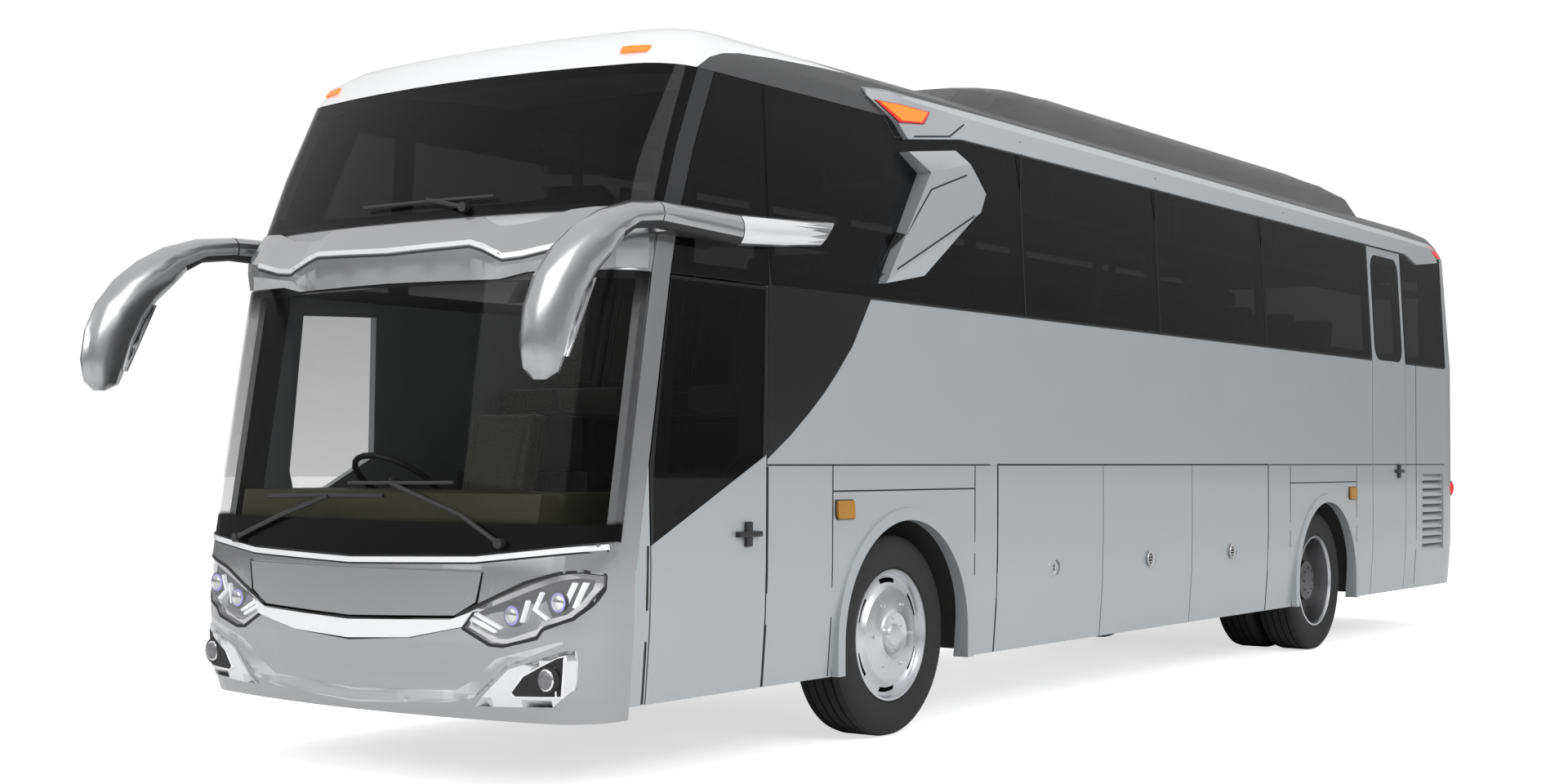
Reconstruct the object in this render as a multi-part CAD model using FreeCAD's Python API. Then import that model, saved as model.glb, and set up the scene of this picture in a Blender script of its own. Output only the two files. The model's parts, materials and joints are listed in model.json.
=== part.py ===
import FreeCAD, Part
import math
import os

V = FreeCAD.Vector

# Overall size, millimetres: X forward, Y to the left side, Z up from the road
body_length = 12000
body_width = 2500
mirror_reach = 400
front_overhang = 2670
wheelbase = 6000

# Heights above the road
bumper_z = 310
skirt_z = 365
lip_z = 420
nose_z = 700
shoulder_z = 950
ledge_low_z = 960
ledge_z = 990
hinge_z = 1400
belt_z = 2240
band_top_z = 2500
brow_z = 2810
window_top_z = 3190
roof_z = 3480
pod_top_z = 3790

# Plan shape
nose_rake = 600
tail_rake = 60
nose_radius = 4500
nose_corner_radius = 250
tail_radius = 16000
tail_corner_radius = 350
corner_steps = 5
nose_steps = 4

# Walls and clearances
wall = 50
mask_wall = 60
ceiling_drop = 90
glass = 8
seat_gap = 0.3
shut_gap = 10
glass_gap = 5
overrun = 40

# Stations measured back from the nose
corner_seam = 470
door_front = 580
door_rear = 1420
luggage_start = 3612
luggage_pitch = 1300
luggage_doors = 3
rear_door_front = 9690
rear_door_rear = 10480
cap_length = 2400
# Rear outline of the front cap: share of its length back, share of the roof's rise
cap_shares = (
    (0.392, 0.0), (0.450, 0.25), (0.500, 0.38), (0.565, 0.476), (0.70, 0.576), (0.856, 0.652),
    (1.0, 0.745), (0.625, 0.95), (0.44, 1.4),
)
tail_depth = 450
pillar_front = 350
pillar_rear = 470
first_pillar = 1450
second_pillar = 3930
third_pillar = 5722
fourth_pillar = 7488
post_width = 110

# Window frames
window_rail = 60
window_radius = 60
rear_door_top_z = 3150
# Clear window of the front door: shares of the door's length back and of its height up
front_door_window_shares = ((0.14, 0.53), (0.20, 0.43), (0.82, 0.57), (0.83, 0.965), (0.235, 0.955))
front_door_glass_shares = ((0.01, 0.372), (0.97, 0.574), (0.985, 0.992), (0.15, 0.992), (0.012, 0.555))

# Middle band and nose trim
band_proud = 58
band_edge_proud = 5
band_lower_share = 0.72
# Sections of the middle band from the centre outwards: way across (above 1 it goes round the corner), then
# its lower edge, lower crease, upper crease and upper edge as shares of the height, and the proud share
band_shares = (
    (0.00, -0.10, 0.26, 0.50, 0.98, 1.0), (0.24, -0.11, 0.27, 0.51, 0.98, 1.0),
    (0.46, -0.12, 0.285, 0.53, 0.985, 1.0), (0.535, -0.125, 0.20, 0.45, 0.83, 1.0),
    (0.605, -0.125, 0.06, 0.30, 0.80, 1.05), (0.74, -0.02, 0.12, 0.30, 0.86, 1.1),
    (0.90, -0.01, 0.20, 0.42, 1.03, 1.05), (1.0, 0.0, 0.26, 0.48, 1.06, 1.0),
    (1.35, 0.02, 0.32, 0.55, 1.06, 0.85), (1.75, 0.04, 0.36, 0.60, 1.04, 0.6),
)
band_flange = 40

# Line under the lower windscreen: it dips in the middle and rises to the pillars
dip_rise = 80
# Shares of half_width across and of the rise
dip_shares = ((0.0, 0.0), (0.56, 0.24), (1.0, 1.0))

# Front mask details
flap_half_width = 735
flap_mid_half_width = 708
flap_middle_z = 730
flap_low_half_width = 600
flap_low_z = 752
flap_mid_z = 812
flap_skin = 8
flap_gap = 12
flap_frame_inset = 40
lamp_depth = 52
recess_depth = 30
recess_low_z = 402
recess_high_z = 640
# Recess outline: share of half_width across, share of the recess height up
recess_outline_shares = ((0.18, 0.02), (0.45, 0.12), (0.53, 0.29), (0.645, 0.75), (0.60, 0.97), (0.30, 0.98))
# Headlamp outline: share of half_width across, share of shoulder_z up
lamp_shares = (
    (0.495, 0.790), (0.762, 0.945), (0.884, 0.992), (0.945, 1.0), (0.990, 0.985), (0.989, 0.933),
    (0.960, 0.850), (0.922, 0.797), (0.828, 0.750), (0.806, 0.712), (0.680, 0.668), (0.628, 0.672),
    (0.526, 0.736),
)
fog_shares = (
    (0.700, 0.562), (0.905, 0.655), (0.931, 0.655), (0.934, 0.608), (0.925, 0.486), (0.858, 0.404),
    (0.627, 0.393), (0.560, 0.390),
)

# Luggage hold
hold_floor_z = 400
sheet = 30
luggage_door_wall = 45
latch_radius = 45
latch_depth = 16
latch_z = 803
latch_ahead_share = 0.54

# Slats of the engine side panel
louvre_front = 10900
louvre_rear = 11480
louvre_low_z = 660
louvre_high_z = 1330
louvre_count = 10
louvre_wall = 12

# Floors and steps
saloon_floor_z = 1350
floor_thickness = 50
cockpit_floor_z = 480
cockpit_length = 1900
step_rise_count = 4
aisle_half_width = 260
stair_run = 1000
step_sheet = 25

# Wheels
# Tyre outline from bead to tread: share of the side's height, share of the width drawn in
tyre_shares = ((0.0, 0.10), (0.12, 0.02), (0.45, 0.0), (0.80, 0.03), (0.97, 0.11))
tyre_radius = 520
tyre_width = 290
tyre_bead_radius = 338
wheel_sides = 48
vent_count = 6
vent_spread = 34
vent_inner = 262
vent_outer = 308
rim_wall = 14
rim_edge = 40
wheel_face_y = 1165
twin_pitch = 330
arch_radius = 595
arch_lip = 62
arch_lip_proud = 12
liner_radius = 700
liner_wall = 20
liner_inner_y = 420
hub_radius = 130
front_hub_reach = 60
rear_hub_reach = 170
disc_wall = 16
front_disc_inset = 35

# Steering and front axle
kingpin_y = 800
kingpin_radius = 26
kingpin_height = 260
running_gap = 0.3
knuckle_radius = 58
steer_arm = 180
tie_rod_radius = 22
ball_radius = 30
axle_drop = 70
beam_width = 110
beam_height = 110
web_width = 54
steer_clearance = 6
spindle_radius = 48

# Rear axle
axle_tube_radius = 85
diff_radius = 230
diff_length = 360

# Springs
bellows_radius = 130
spring_offset = 420
rear_spring_y = 400
front_spring_y = 480

# Chassis
rail_y = 430
rail_width = 70
rail_height = 160
rail_z = 880
rail_low_height = 110
cross_member = 80
tow_eye_bore = 30
tow_eye_radius = 60
tow_eye_thickness = 35

# Door mechanism
arm_length = 450
arm_post_radius = 24
arm_bar = 36
arm_z = 1050
arm_height = 300
arm_post_back = 75

# Seats
seat_rows = 11
seat_pitch = 800
seat_width = 440
seat_depth = 460
seat_base_height = 330
cushion_height = 120
back_height = 720
back_thickness = 110
back_lean = 170
seat_gap_wide = 20
leg_width = 60
driver_y = 620

# Luggage racks
rack_depth = 420
rack_height = 60
rack_lip = 120
rack_z = 2860
rack_hangers = 6

# Strip along the roof edge, from its head to the rear corner
cove_head = 2395
cove_foot = 11950
cove_proud = 45
cove_low_z = 3150
cove_high_z = 3375
# Sections: share of the length back, heights of the lower edge, crease and upper edge as shares of the
# strip's height, and share of the proud depth
cove_shares = (
    (0.000, 0.58, 0.74, 0.80, 0.40), (0.022, 0.02, 0.70, 0.90, 1.35), (0.030, -0.28, 0.66, 0.92, 1.45),
    (0.090, 0.05, 0.63, 0.92, 1.10), (0.150, 0.06, 0.62, 0.93, 1.0), (0.855, 0.035, 0.54, 0.84, 1.0),
    (0.885, -0.27, 0.50, 0.80, 1.05), (0.945, 0.0, 0.52, 0.76, 0.9), (0.999, 0.30, 0.50, 0.66, 0.35),
)
# Leaf shaped trim under the head of the strip: distance behind the nose and height as shares
leaf_length = 1060
leaf_height = 770
leaf_front = 2384
leaf_low_z = 2310
leaf_proud = 56
leaf_shares = (
    (0.240, 0.915), (0.694, 1.000), (0.800, 0.930), (0.985, 0.740), (0.935, 0.600), (0.875, 0.560),
    (0.420, 0.100), (0.000, 0.005), (0.402, 0.798),
)
# Planes of its facets: three points each, as shares of length, height and proud depth
leaf_plane_shares = (
    ((0.402, 0.798, 1.0), (0.000, 0.005, 0.92), (0.985, 0.740, 0.55)),
    ((0.040, 0.045, 0.90), (0.935, 0.600, 0.55), (0.420, 0.100, 0.05)),
    ((0.402, 0.798, 1.0), (0.800, 0.930, 0.68), (0.240, 0.915, 0.42)),
)

# Air conditioner on the roof
pod_front = 3620
pod_rear = 10500
pod_half_width = 960
pod_radius = 380
pod_corner_steps = 4
pod_seat_z = 3440
pod_front_slope = 2600
pod_rear_slope = 2400
pod_side_slope = 620
# Sections of the roof unit: share of its height, and of the slopes at its front, rear and sides
pod_shares = (
    (0.0, 0.0, 0.0, 0.0), (0.42, 0.09, 0.05, 0.10), (0.60, 0.21, 0.20, 0.20), (0.72, 0.42, 0.42, 0.32),
    (0.82, 0.68, 0.68, 0.48), (0.95, 0.90, 0.90, 0.76), (1.0, 1.0, 1.0, 1.0),
)

# Engine
engine_length = 1250
engine_width = 800
engine_height = 760
engine_low_z = 420
shaft_radius = 45

# Dashboard and steering wheel
dash_top_z = 1270
dash_depth = 620
column_radius = 30
wheel_rim_radius = 235
wheel_rim_tube = 16
wheel_rim_sides = 24
right_angle = 90
# Cabin shares: dashboard's place on the rake and cut at the door, driver's seat behind it, seat rails and legs
dash_rake_share = 0.4
dash_side_share = 0.25
dash_knee_parts = 3
driver_gap_share = 3
driver_base_parts = 3
rail_rear_share = 0.8
rail_front_share = 0.2
leg_rear_share = 0.6
leg_front_share = 0.4
floor_gap_share = 4
# Running gear shares: beam ends, jaw gap, pinion housing and the step of the twin wheel's dish
beam_inset_share = 1.5
jaw_gap_share = 0.25
pinion_share = 1.5
pinion_reach_share = 1.6
dish_step_share = 3
wheel_tube_sides = 8
steering_hub_radius = 50
steering_hub_depth = 24
column_length = 520
steering_tilt = 35

# Wipers: shares of half_width and of pod_top_z for the blade's ends and middle, its joint, the arm's elbow
# and its foot
wiper_blade_radius = 9
wiper_arm_radius = 11
wiper_foot_radius = 22
wiper_lift = 24
wiper_shares = (
    ((-0.046, 0.346), (0.255, 0.347), (0.444, 0.348), (0.158, 0.347), (0.486, 0.312), (0.655, 0.281)),
    ((-0.502, 0.3285), (-0.19, 0.331), (0.134, 0.332), (-0.146, 0.3305), (-0.406, 0.306), (-0.688, 0.276)),
    ((-0.214, 0.682), (0.10, 0.6825), (0.423, 0.683), (0.111, 0.6845), (0.20, 0.679), (0.296, 0.672)),
)

# Marker lamps over the windscreen
marker_inner = 925
marker_outer = 1048
marker_low_z = 3250
marker_high_z = 3282
marker_proud = 12
marker_rear = 1300

# Mirrors
mirror_span = 2200
mirror_out = 140
mirror_top_z = 2550
mirror_low_z = 1735
mirror_width = 150
mirror_sides = 12
mirror_foot_length = 420
mirror_foot_height = 70
mirror_glass_wall = 6
mirror_glass_width = 96
# Sections from the arm's rear tip to the housing's foot: ahead and height of the outer edge, ahead and height
# of the inner edge, as shares of span and drop, then the way out and the width
mirror_shares = (
    (-0.056, 1.030, -0.002, 0.880, 0.25, 0.20), (0.136, 1.000, 0.145, 0.838, 0.38, 0.44),
    (0.327, 0.975, 0.332, 0.800, 0.55, 0.58), (0.611, 0.968, 0.623, 0.822, 0.80, 0.72),
    (0.709, 0.938, 0.691, 0.798, 0.93, 0.80), (0.795, 0.868, 0.736, 0.730, 1.0, 0.87),
    (0.864, 0.770, 0.777, 0.620, 1.0, 0.94), (0.918, 0.660, 0.814, 0.534, 1.0, 1.0),
    (0.964, 0.510, 0.845, 0.423, 1.0, 1.0), (0.991, 0.350, 0.873, 0.276, 1.0, 0.96),
    (1.000, 0.180, 0.893, 0.129, 1.0, 0.90), (0.991, 0.055, 0.909, 0.037, 1.0, 0.74),
    (0.968, 0.000, 0.941, 0.000, 1.0, 0.34),
)
# Ends of the flat that carries the mirror glass, as shares of span and drop
mirror_glass_shares = ((0.8285, 0.515), (0.902, 0.117))

# Rear end
lid_half_width = 820
lid_low_z = 760
lid_top_z = 1860
rear_glass_half_width = 940
rear_glass_low_z = 2300
rear_glass_top_z = 3080
tail_lamp_width = 170
tail_lamp_low_z = 900
tail_lamp_top_z = 1500
tail_lamp_depth = 30

half_width = body_width / 2
x_front = (body_length - mirror_reach) / 2
x_rear = -(body_length + mirror_reach) / 2
front_axle_x = x_front - front_overhang
rear_axle_x = front_axle_x - wheelbase
roof_rise = roof_z - window_top_z
rim_radius = tyre_bead_radius - seat_gap

# Body sections: height, half width share, nose setback share of nose_rake, tail setback share of tail_rake
wall_level_shares = (
    (bumper_z, 0.972, 0.083, 0.5),
    (lip_z, 0.980, 0.025, 0.2),
    (nose_z, 0.996, 0.0, 0.0),
    (shoulder_z, 1.0, 0.012, 0.0),
    (belt_z, 1.0, 0.375, 0.0),
    (band_top_z, 0.989, 0.50, 0.25),
    (brow_z, 0.976, 0.70, 0.55),
    (window_top_z, 0.960, 1.0, 1.0),
)
# Roof sections: height share of roof_rise, half width share, nose and tail setback shares
roof_level_shares = (
    (0.0, 0.960, 1.0, 1.0),
    (0.38, 0.920, 1.133, 1.6),
    (0.655, 0.872, 1.37, 2.6),
    (0.83, 0.80, 1.68, 5.0),
    (0.93, 0.64, 2.0, 8.0),
    (1.0, 0.40, 2.4, 12.0),
)
wall_levels = [
    (z, half_width * w, x_front - nose_rake * n, x_rear + tail_rake * t)
    for z, w, n, t in wall_level_shares
]
roof_levels = [
    (window_top_z + roof_rise * h, half_width * w, x_front - nose_rake * n, x_rear + tail_rake * t)
    for h, w, n, t in roof_level_shares
]


# Basic solids
def block(x0, x1, y0, y1, z0, z1):
    return Part.makeBox(x1 - x0, y1 - y0, z1 - z0, V(x0, y0, z0))


def polygon_face(points):
    return Part.Face(Part.makePolygon(points + [points[0]]))


def side_prism(points, y0, y1):
    """Outline of (x, z) points, run across from y0 to y1."""
    face = polygon_face([V(x, y0, z) for x, z in points])
    return face.extrude(V(0, y1 - y0, 0))


def front_prism(points, x0, x1):
    """Outline of (y, z) points, run along from x0 to x1."""
    face = polygon_face([V(x0, y, z) for y, z in points])
    return face.extrude(V(x1 - x0, 0, 0))


def rod(start, end, radius):
    return Part.makeCylinder(radius, (end - start).Length, start, end - start)


def mirrored(shape):
    return shape.mirror(V(0, 0, 0), V(0, 1, 0))


def both_sides(shape):
    return Part.makeCompound([shape, mirrored(shape)])


def rounded_block(x0, x1, y0, y1, z0, z1, radius):
    """Block whose corners are rounded as seen from the side."""
    solid = block(x0, x1, y0, y1, z0, z1)
    ways = [(e, e.tangentAt(e.FirstParameter)) for e in solid.Edges]
    across = [e for e, way in ways if abs(way.y) > abs(way.x)
              + abs(e.tangentAt(e.FirstParameter).z)]
    return solid.makeFillet(min(radius, (x1 - x0) / 2, (z1 - z0) / 2), across)


# Body form
def level_at(z, levels):
    """Half width, nose place and tail place at a height."""
    low, high = levels[0], levels[1]
    for first, second in zip(levels, levels[1:]):
        low, high = first, second
        if z <= second[0]:
            break
    t = (z - low[0]) / (high[0] - low[0])
    return [a + (b - a) * t for a, b in zip(low[1:], high[1:])]


def nose_x(z):
    return level_at(z, wall_levels)[1]


def end_curve(half, tip, radius, corner, inset, way):
    """Points round one end of the plan, from the left side to the right one."""
    edge_y = (half - corner) / (1 - corner / radius)
    angle = math.asin(edge_y / radius)
    axis_x = tip - way * radius
    centre_x = axis_x + way * (radius - corner) * math.cos(angle)
    centre_y = (radius - corner) * math.sin(angle)
    small = corner - inset
    large = radius - inset
    turn = (math.pi / 2 - angle) / corner_steps
    side = []
    for i in range(corner_steps):
        a = math.pi / 2 - turn * i
        side.append((centre_x + way * small * math.cos(a), centre_y + small * math.sin(a)))
    for i in range(nose_steps):
        a = angle - angle * i / nose_steps
        side.append((axis_x + way * large * math.cos(a), large * math.sin(a)))
    return side + [(axis_x + way * large, 0)] + [(x, -y) for x, y in reversed(side)]


def plan_wire(z, inset, levels):
    half, nose, tail = level_at(z, levels)
    front = end_curve(half, nose, nose_radius, nose_corner_radius, inset, 1)
    back = end_curve(half, tail, tail_radius, tail_corner_radius, inset, -1)
    points = [V(x, y, z) for x, y in front + back[::-1]]
    return Part.makePolygon(points + [points[0]])


def hull(inset, low, high, levels=wall_levels):
    """Solid body form between two heights, drawn in by inset."""
    heights = [low] + [row[0] for row in levels if low < row[0] < high] + [high]
    return Part.makeLoft([plan_wire(z, inset, levels) for z in heights], True, True)


def skin(outer, inner, low, high):
    """Shell of the body form between two insets and two heights."""
    return hull(outer, low, high).cut(hull(inner, low - overrun, high + overrun))


def nose_band(back_front, back_rear, low, high):
    """Slice that follows the raked nose, between two distances behind it."""
    heights = [low] + [row[0] for row in wall_levels if low < row[0] < high] + [high]
    front = [(nose_x(z) - back_front, z) for z in heights]
    rear = [(nose_x(z) - back_rear, z) for z in reversed(heights)]
    return side_prism(front + rear, -body_width, body_width)


def station(distance):
    return x_front - distance


# Front end
def under_glass(z):
    """Region ahead of the corner seam below the dipping line that is at this height in the middle."""
    right = [(half_width * y, z + dip_rise * up) for y, up in dip_shares]
    right.append((body_width, z + dip_rise))
    line = [(-y, up) for y, up in reversed(right)] + right[1:]
    outline = [(-body_width, 0)] + line + [(body_width, 0)]
    return front_prism(outline, station(corner_seam), x_front + overrun)


def windscreens():
    pane = skin(0, glass, ledge_z + glass_gap, belt_z - glass_gap)
    lower = pane.common(nose_band(-overrun, pillar_front - glass_gap, ledge_z, belt_z))
    lower = lower.cut(under_glass(ledge_z + glass_gap))
    pane = skin(0, glass, band_top_z + glass_gap, window_top_z - glass_gap)
    upper = pane.common(nose_band(-overrun, pillar_front - glass_gap, band_top_z, window_top_z))
    return Part.makeCompound([lower, upper])


def nose_frame(way, z):
    """Place and outward way on the nose's plan: up to 1 along the front, beyond it round the corner."""
    half, nose, _ = level_at(z, wall_levels)
    edge_y = (half - nose_corner_radius) / (1 - nose_corner_radius / nose_radius)
    edge_angle = math.asin(edge_y / nose_radius)
    if way <= 1:
        angle = math.asin(edge_y * way / nose_radius)
        outward = V(math.cos(angle), math.sin(angle), 0)
        return V(nose - nose_radius, 0, z) + outward * nose_radius, outward
    angle = edge_angle + (math.pi / 2 - edge_angle) * (way - 1)
    outward = V(math.cos(angle), math.sin(angle), 0)
    centre = V(nose - nose_radius, 0, z)
    centre += V(math.cos(edge_angle), math.sin(edge_angle), 0) * (nose_radius - nose_corner_radius)
    return centre + outward * nose_corner_radius, outward


def band_section(way, low, crease_low, crease_high, high, proud):
    """Upright section of the band: two edges near the glass and two creases that stand proud."""
    rise = band_top_z - belt_z
    middle, outward = nose_frame(way, (belt_z + band_top_z) / 2)
    rows = (
        (low, -wall), (low, band_edge_proud), (crease_low, band_proud * proud * band_lower_share),
        (crease_high, band_proud * proud), (high, band_edge_proud), (high, -wall),
    )
    points = []
    for height, out in rows:
        z = belt_z + rise * height
        surface, _ = nose_frame(way, z)
        reach = (surface - middle).dot(outward) + out
        points.append(V(middle.x, middle.y, z) + outward * reach)
    return points


def band_form():
    """Proud middle band across the nose, with two creases that dip beside its middle."""
    left = [band_section(*row) for row in band_shares]
    right = [[V(p.x, -p.y, p.z) for p in points] for points in reversed(left[1:])]
    wires = [Part.makePolygon(points + points[:1]) for points in right + left]
    form = Part.makeLoft(wires, True, True).cut(hull(wall, belt_z - wall, band_top_z + wall))
    for low, high in ((belt_z - wall, belt_z), (band_top_z, band_top_z + wall)):
        form = form.cut(hull(-seat_gap, low, high))
    return max(form.Solids, key=lambda solid: solid.Volume)


def front_surround():
    """Both windscreen pillars, the ledge, the middle band and the flange behind the glass."""
    low = shoulder_z
    outer = skin(0, wall, low, window_top_z)
    pillars = outer.common(nose_band(pillar_front, pillar_rear, low, window_top_z))
    ledge_top = ledge_z + dip_rise
    ledge = skin(0, wall, low, ledge_top).common(nose_band(-overrun, pillar_front, low, ledge_top))
    ledge = ledge.common(under_glass(ledge_z))
    band = band_form()
    flange = skin(glass + seat_gap, wall, low, window_top_z)
    flange = flange.common(nose_band(-overrun, pillar_front, low, window_top_z))
    for z0, z1 in ((ledge_z, belt_z), (band_top_z, window_top_z)):
        clear = nose_band(-overrun, pillar_front - band_flange, z0 + band_flange, z1 - band_flange)
        flange = flange.cut(clear.cut(under_glass(z0 + band_flange)))
    return pillars.multiFuse([ledge, band, flange]).cut(under_glass(ledge_low_z)).removeSplitter()


def lamp_prism(shares, spread):
    points = [V(station(corner_seam), half_width * y, shoulder_z * z) for y, z in shares]
    face = polygon_face(points).makeOffset2D(spread)
    return face.extrude(V(corner_seam + overrun, 0, 0))


def lamp_body(shares):
    low = min(z for y, z in shares) * shoulder_z - overrun
    high = max(z for y, z in shares) * shoulder_z + overrun
    reach = block(station(pillar_front), x_front + overrun, 0, body_width, low, high)
    lens = skin(0, lamp_depth, low, high).common(reach)
    return both_sides(lens.common(lamp_prism(shares, -seat_gap)))


def flap_outline(spread, top_spread):
    top = shoulder_z - shut_gap + top_spread
    right = [
        (flap_half_width + spread, top), (flap_mid_half_width + spread, flap_mid_z - spread),
        (flap_low_half_width + spread, flap_low_z - spread), (0, flap_middle_z - spread),
    ]
    return right + [(-y, z) for y, z in reversed(right[:-1])]


def recess_outline():
    rise = recess_high_z - recess_low_z
    right = [(half_width * y, recess_low_z + rise * z) for y, z in recess_outline_shares]
    return right + [(-y, z) for y, z in reversed(right)]


def front_mask():
    mask = skin(0, mask_wall, bumper_z, ledge_low_z + dip_rise)
    mask = mask.common(block(station(corner_seam), x_front + overrun, -body_width, body_width, 0, body_width))
    mask = mask.common(under_glass(ledge_low_z))
    for shares in (lamp_shares, fog_shares):
        reach = block(station(pillar_front) - seat_gap, x_front + overrun, 0, body_width, 0, body_width)
        pocket = hull(-overrun, bumper_z, shoulder_z + overrun).cut(hull(lamp_depth + seat_gap, 0, body_width))
        pocket = pocket.common(reach).common(lamp_prism(shares, 0))
        mask = mask.cut(pocket).cut(mirrored(pocket))
    mask = mask.cut(front_prism(flap_outline(flap_gap, shut_gap), station(corner_seam), x_front + overrun))
    flap_top = shoulder_z - shut_gap
    hinge = skin(shut_gap, mask_wall, flap_top + seat_gap, shoulder_z)
    y = flap_half_width + shut_gap
    hinge = hinge.common(block(station(corner_seam), x_front, -y, y, 0, shoulder_z))
    mask = mask.fuse(hinge)
    recess = hull(-overrun, lip_z, shoulder_z).cut(hull(recess_depth, 0, body_width))
    recess = recess.common(front_prism(recess_outline(), station(corner_seam), x_front + overrun))
    return mask.cut(recess).removeSplitter()


def front_flap():
    """Thin outer skin with a narrower stiff panel behind it, so that its lower corners lift clear."""
    low = flap_middle_z - shut_gap
    reach = station(corner_seam), x_front + overrun
    outer = skin(0, flap_skin, low, shoulder_z).common(front_prism(flap_outline(0, 0), *reach))
    inner = skin(flap_skin / 2, wall, low, shoulder_z)
    inner = inner.common(front_prism(flap_outline(-flap_frame_inset, 0), *reach))
    return outer.fuse(inner).removeSplitter()


def nose_place(y, z, out):
    """Place over the nose's surface at a share of the width and of the height."""
    across = half_width * y
    height = pod_top_z * z
    ahead = V(math.sqrt(nose_radius ** 2 - across ** 2), across, 0)
    return V(nose_x(height) - nose_radius, 0, height) + ahead * (1 + out / nose_radius)


def wiper(shares):
    """Blade that follows the glass, with its arm and the foot on the glass."""
    start, middle, end, joint, elbow, foot = [nose_place(y, z, wiper_lift) for y, z in shares]
    blade = [rod(a, b, wiper_blade_radius) for a, b in ((start, middle), (middle, end))]
    arm = [rod(a, b, wiper_arm_radius) for a, b in ((joint, elbow), (elbow, foot))]
    seat = nose_place(*shares[-1], seat_gap)
    post = rod(seat, seat + (foot - seat) * (1 + wiper_arm_radius / wiper_lift), wiper_foot_radius)
    whole = blade[0].multiFuse(blade[1:] + arm + [post])
    return whole.cut(hull(-seat_gap, shoulder_z, window_top_z)).removeSplitter()


def wipers():
    return Part.makeCompound([wiper(shares) for shares in wiper_shares])


def marker_lamps():
    lamp = hull(-marker_proud, window_top_z, roof_z, roof_levels)
    lamp = lamp.cut(hull(-seat_gap, window_top_z, roof_z, roof_levels))
    reach = block(station(marker_rear), x_front, marker_inner, marker_outer, marker_low_z, marker_high_z)
    return both_sides(lamp.common(reach))


# Side walls
def side_half(solid):
    return solid.common(block(x_rear - overrun, x_front + overrun, 0, body_width, 0, body_length))


def window_bays():
    """Front and rear ends of each upper window, as distances behind the nose."""
    return (
        (first_pillar, second_pillar),
        (second_pillar, third_pillar),
        (third_pillar, fourth_pillar),
        (fourth_pillar, rear_door_front - shut_gap),
        (rear_door_rear + shut_gap, body_length - tail_depth),
    )


def glass_band():
    """Region of the flush upper glass, from the pillar back to the tail."""
    region = nose_band(pillar_rear, body_length, belt_z, window_top_z)
    return region.common(block(x_rear + tail_depth, x_front, 0, body_width, 0, body_length))


def window_hole(front, rear):
    return block(station(rear) + post_width / 2, station(front) - post_width / 2, 0, body_width,
                 belt_z + window_rail, window_top_z - window_rail)


def first_window_hole():
    low = belt_z + window_rail
    high = window_top_z - window_rail
    ahead = block(station(first_pillar) + post_width / 2, x_front, 0, body_width, low, high)
    return ahead.common(nose_band(pillar_rear + window_rail, body_length, low, high))


def side_wall(has_doors):
    outer = side_half(skin(0, wall, hinge_z + shut_gap / 2, window_top_z))
    outer = outer.common(nose_band(pillar_rear, body_length * 2, hinge_z, window_top_z))
    outer = outer.common(block(x_rear + tail_depth, x_front, 0, body_width, 0, body_length))
    recess = skin(-overrun, glass + seat_gap, belt_z, window_top_z - seat_gap).common(glass_band())
    outer = outer.cut(recess)
    bays = window_bays()
    if not has_doors:
        bays = bays[:3] + ((fourth_pillar, rear_door_front), (rear_door_front, body_length - tail_depth))
    for front, rear in bays:
        outer = outer.cut(window_hole(front, rear))
    outer = outer.cut(first_window_hole())
    if has_doors:
        outer = outer.cut(front_door_region(shut_gap))
        outer = outer.cut(rear_door_region(shut_gap))
    else:
        outer = outer.cut(driver_window_region())
    outer = outer.fuse(luggage_hinge_rail()).removeSplitter()
    panels = []
    heights = (hinge_z - overrun, belt_z + window_rail, window_top_z - window_rail, roof_z)
    for low, high in zip(heights, heights[1:]):
        level = block(x_rear, x_front, 0, body_width, low, high)
        panels += outer.common(level).Solids
    return Part.makeCompound(panels)


def side_glass(has_doors):
    pane = side_half(skin(0, glass, belt_z + glass_gap, window_top_z - glass_gap)).common(glass_band())
    cuts = [first_pillar, second_pillar, third_pillar, fourth_pillar]
    if has_doors:
        pane = pane.cut(rear_door_region(shut_gap))
    else:
        cuts.append(rear_door_front)
    for cut in cuts:
        x = station(cut)
        pane = pane.cut(block(x - glass_gap / 2, x + glass_gap / 2, 0, body_width, 0, body_length))
    pane = pane.cut(nose_band(0, pillar_rear + glass_gap, belt_z, window_top_z))
    panes = [pane]
    if not has_doors:
        panes.append(front_door_glass())
    return Part.makeCompound([s for p in panes for s in p.Solids])


# Doors
def front_door_outline(spread):
    """Front door seen from the side; its front edge leans back with the pillar."""
    top = belt_z - shut_gap + spread
    lean = pillar_rear + shut_gap - spread
    return [
        (station(door_rear) - spread, skirt_z - spread),
        (station(door_front) + spread, skirt_z - spread),
        (station(door_front) + spread, shoulder_z),
        (nose_x(hinge_z) - lean, hinge_z),
        (nose_x(top) - lean, top),
        (station(door_rear) - spread, top),
    ]


def front_door_region(spread):
    return side_prism(front_door_outline(spread), 0, body_width)


def rear_door_region(spread):
    return block(station(rear_door_rear) - spread, station(rear_door_front) + spread, 0, body_width,
                 skirt_z - spread, rear_door_top_z + spread)


def door_share_points(shares):
    length = door_rear - door_front
    height = belt_z - shut_gap - skirt_z
    return [(station(door_front) - length * x, skirt_z + height * z) for x, z in shares]


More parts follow.
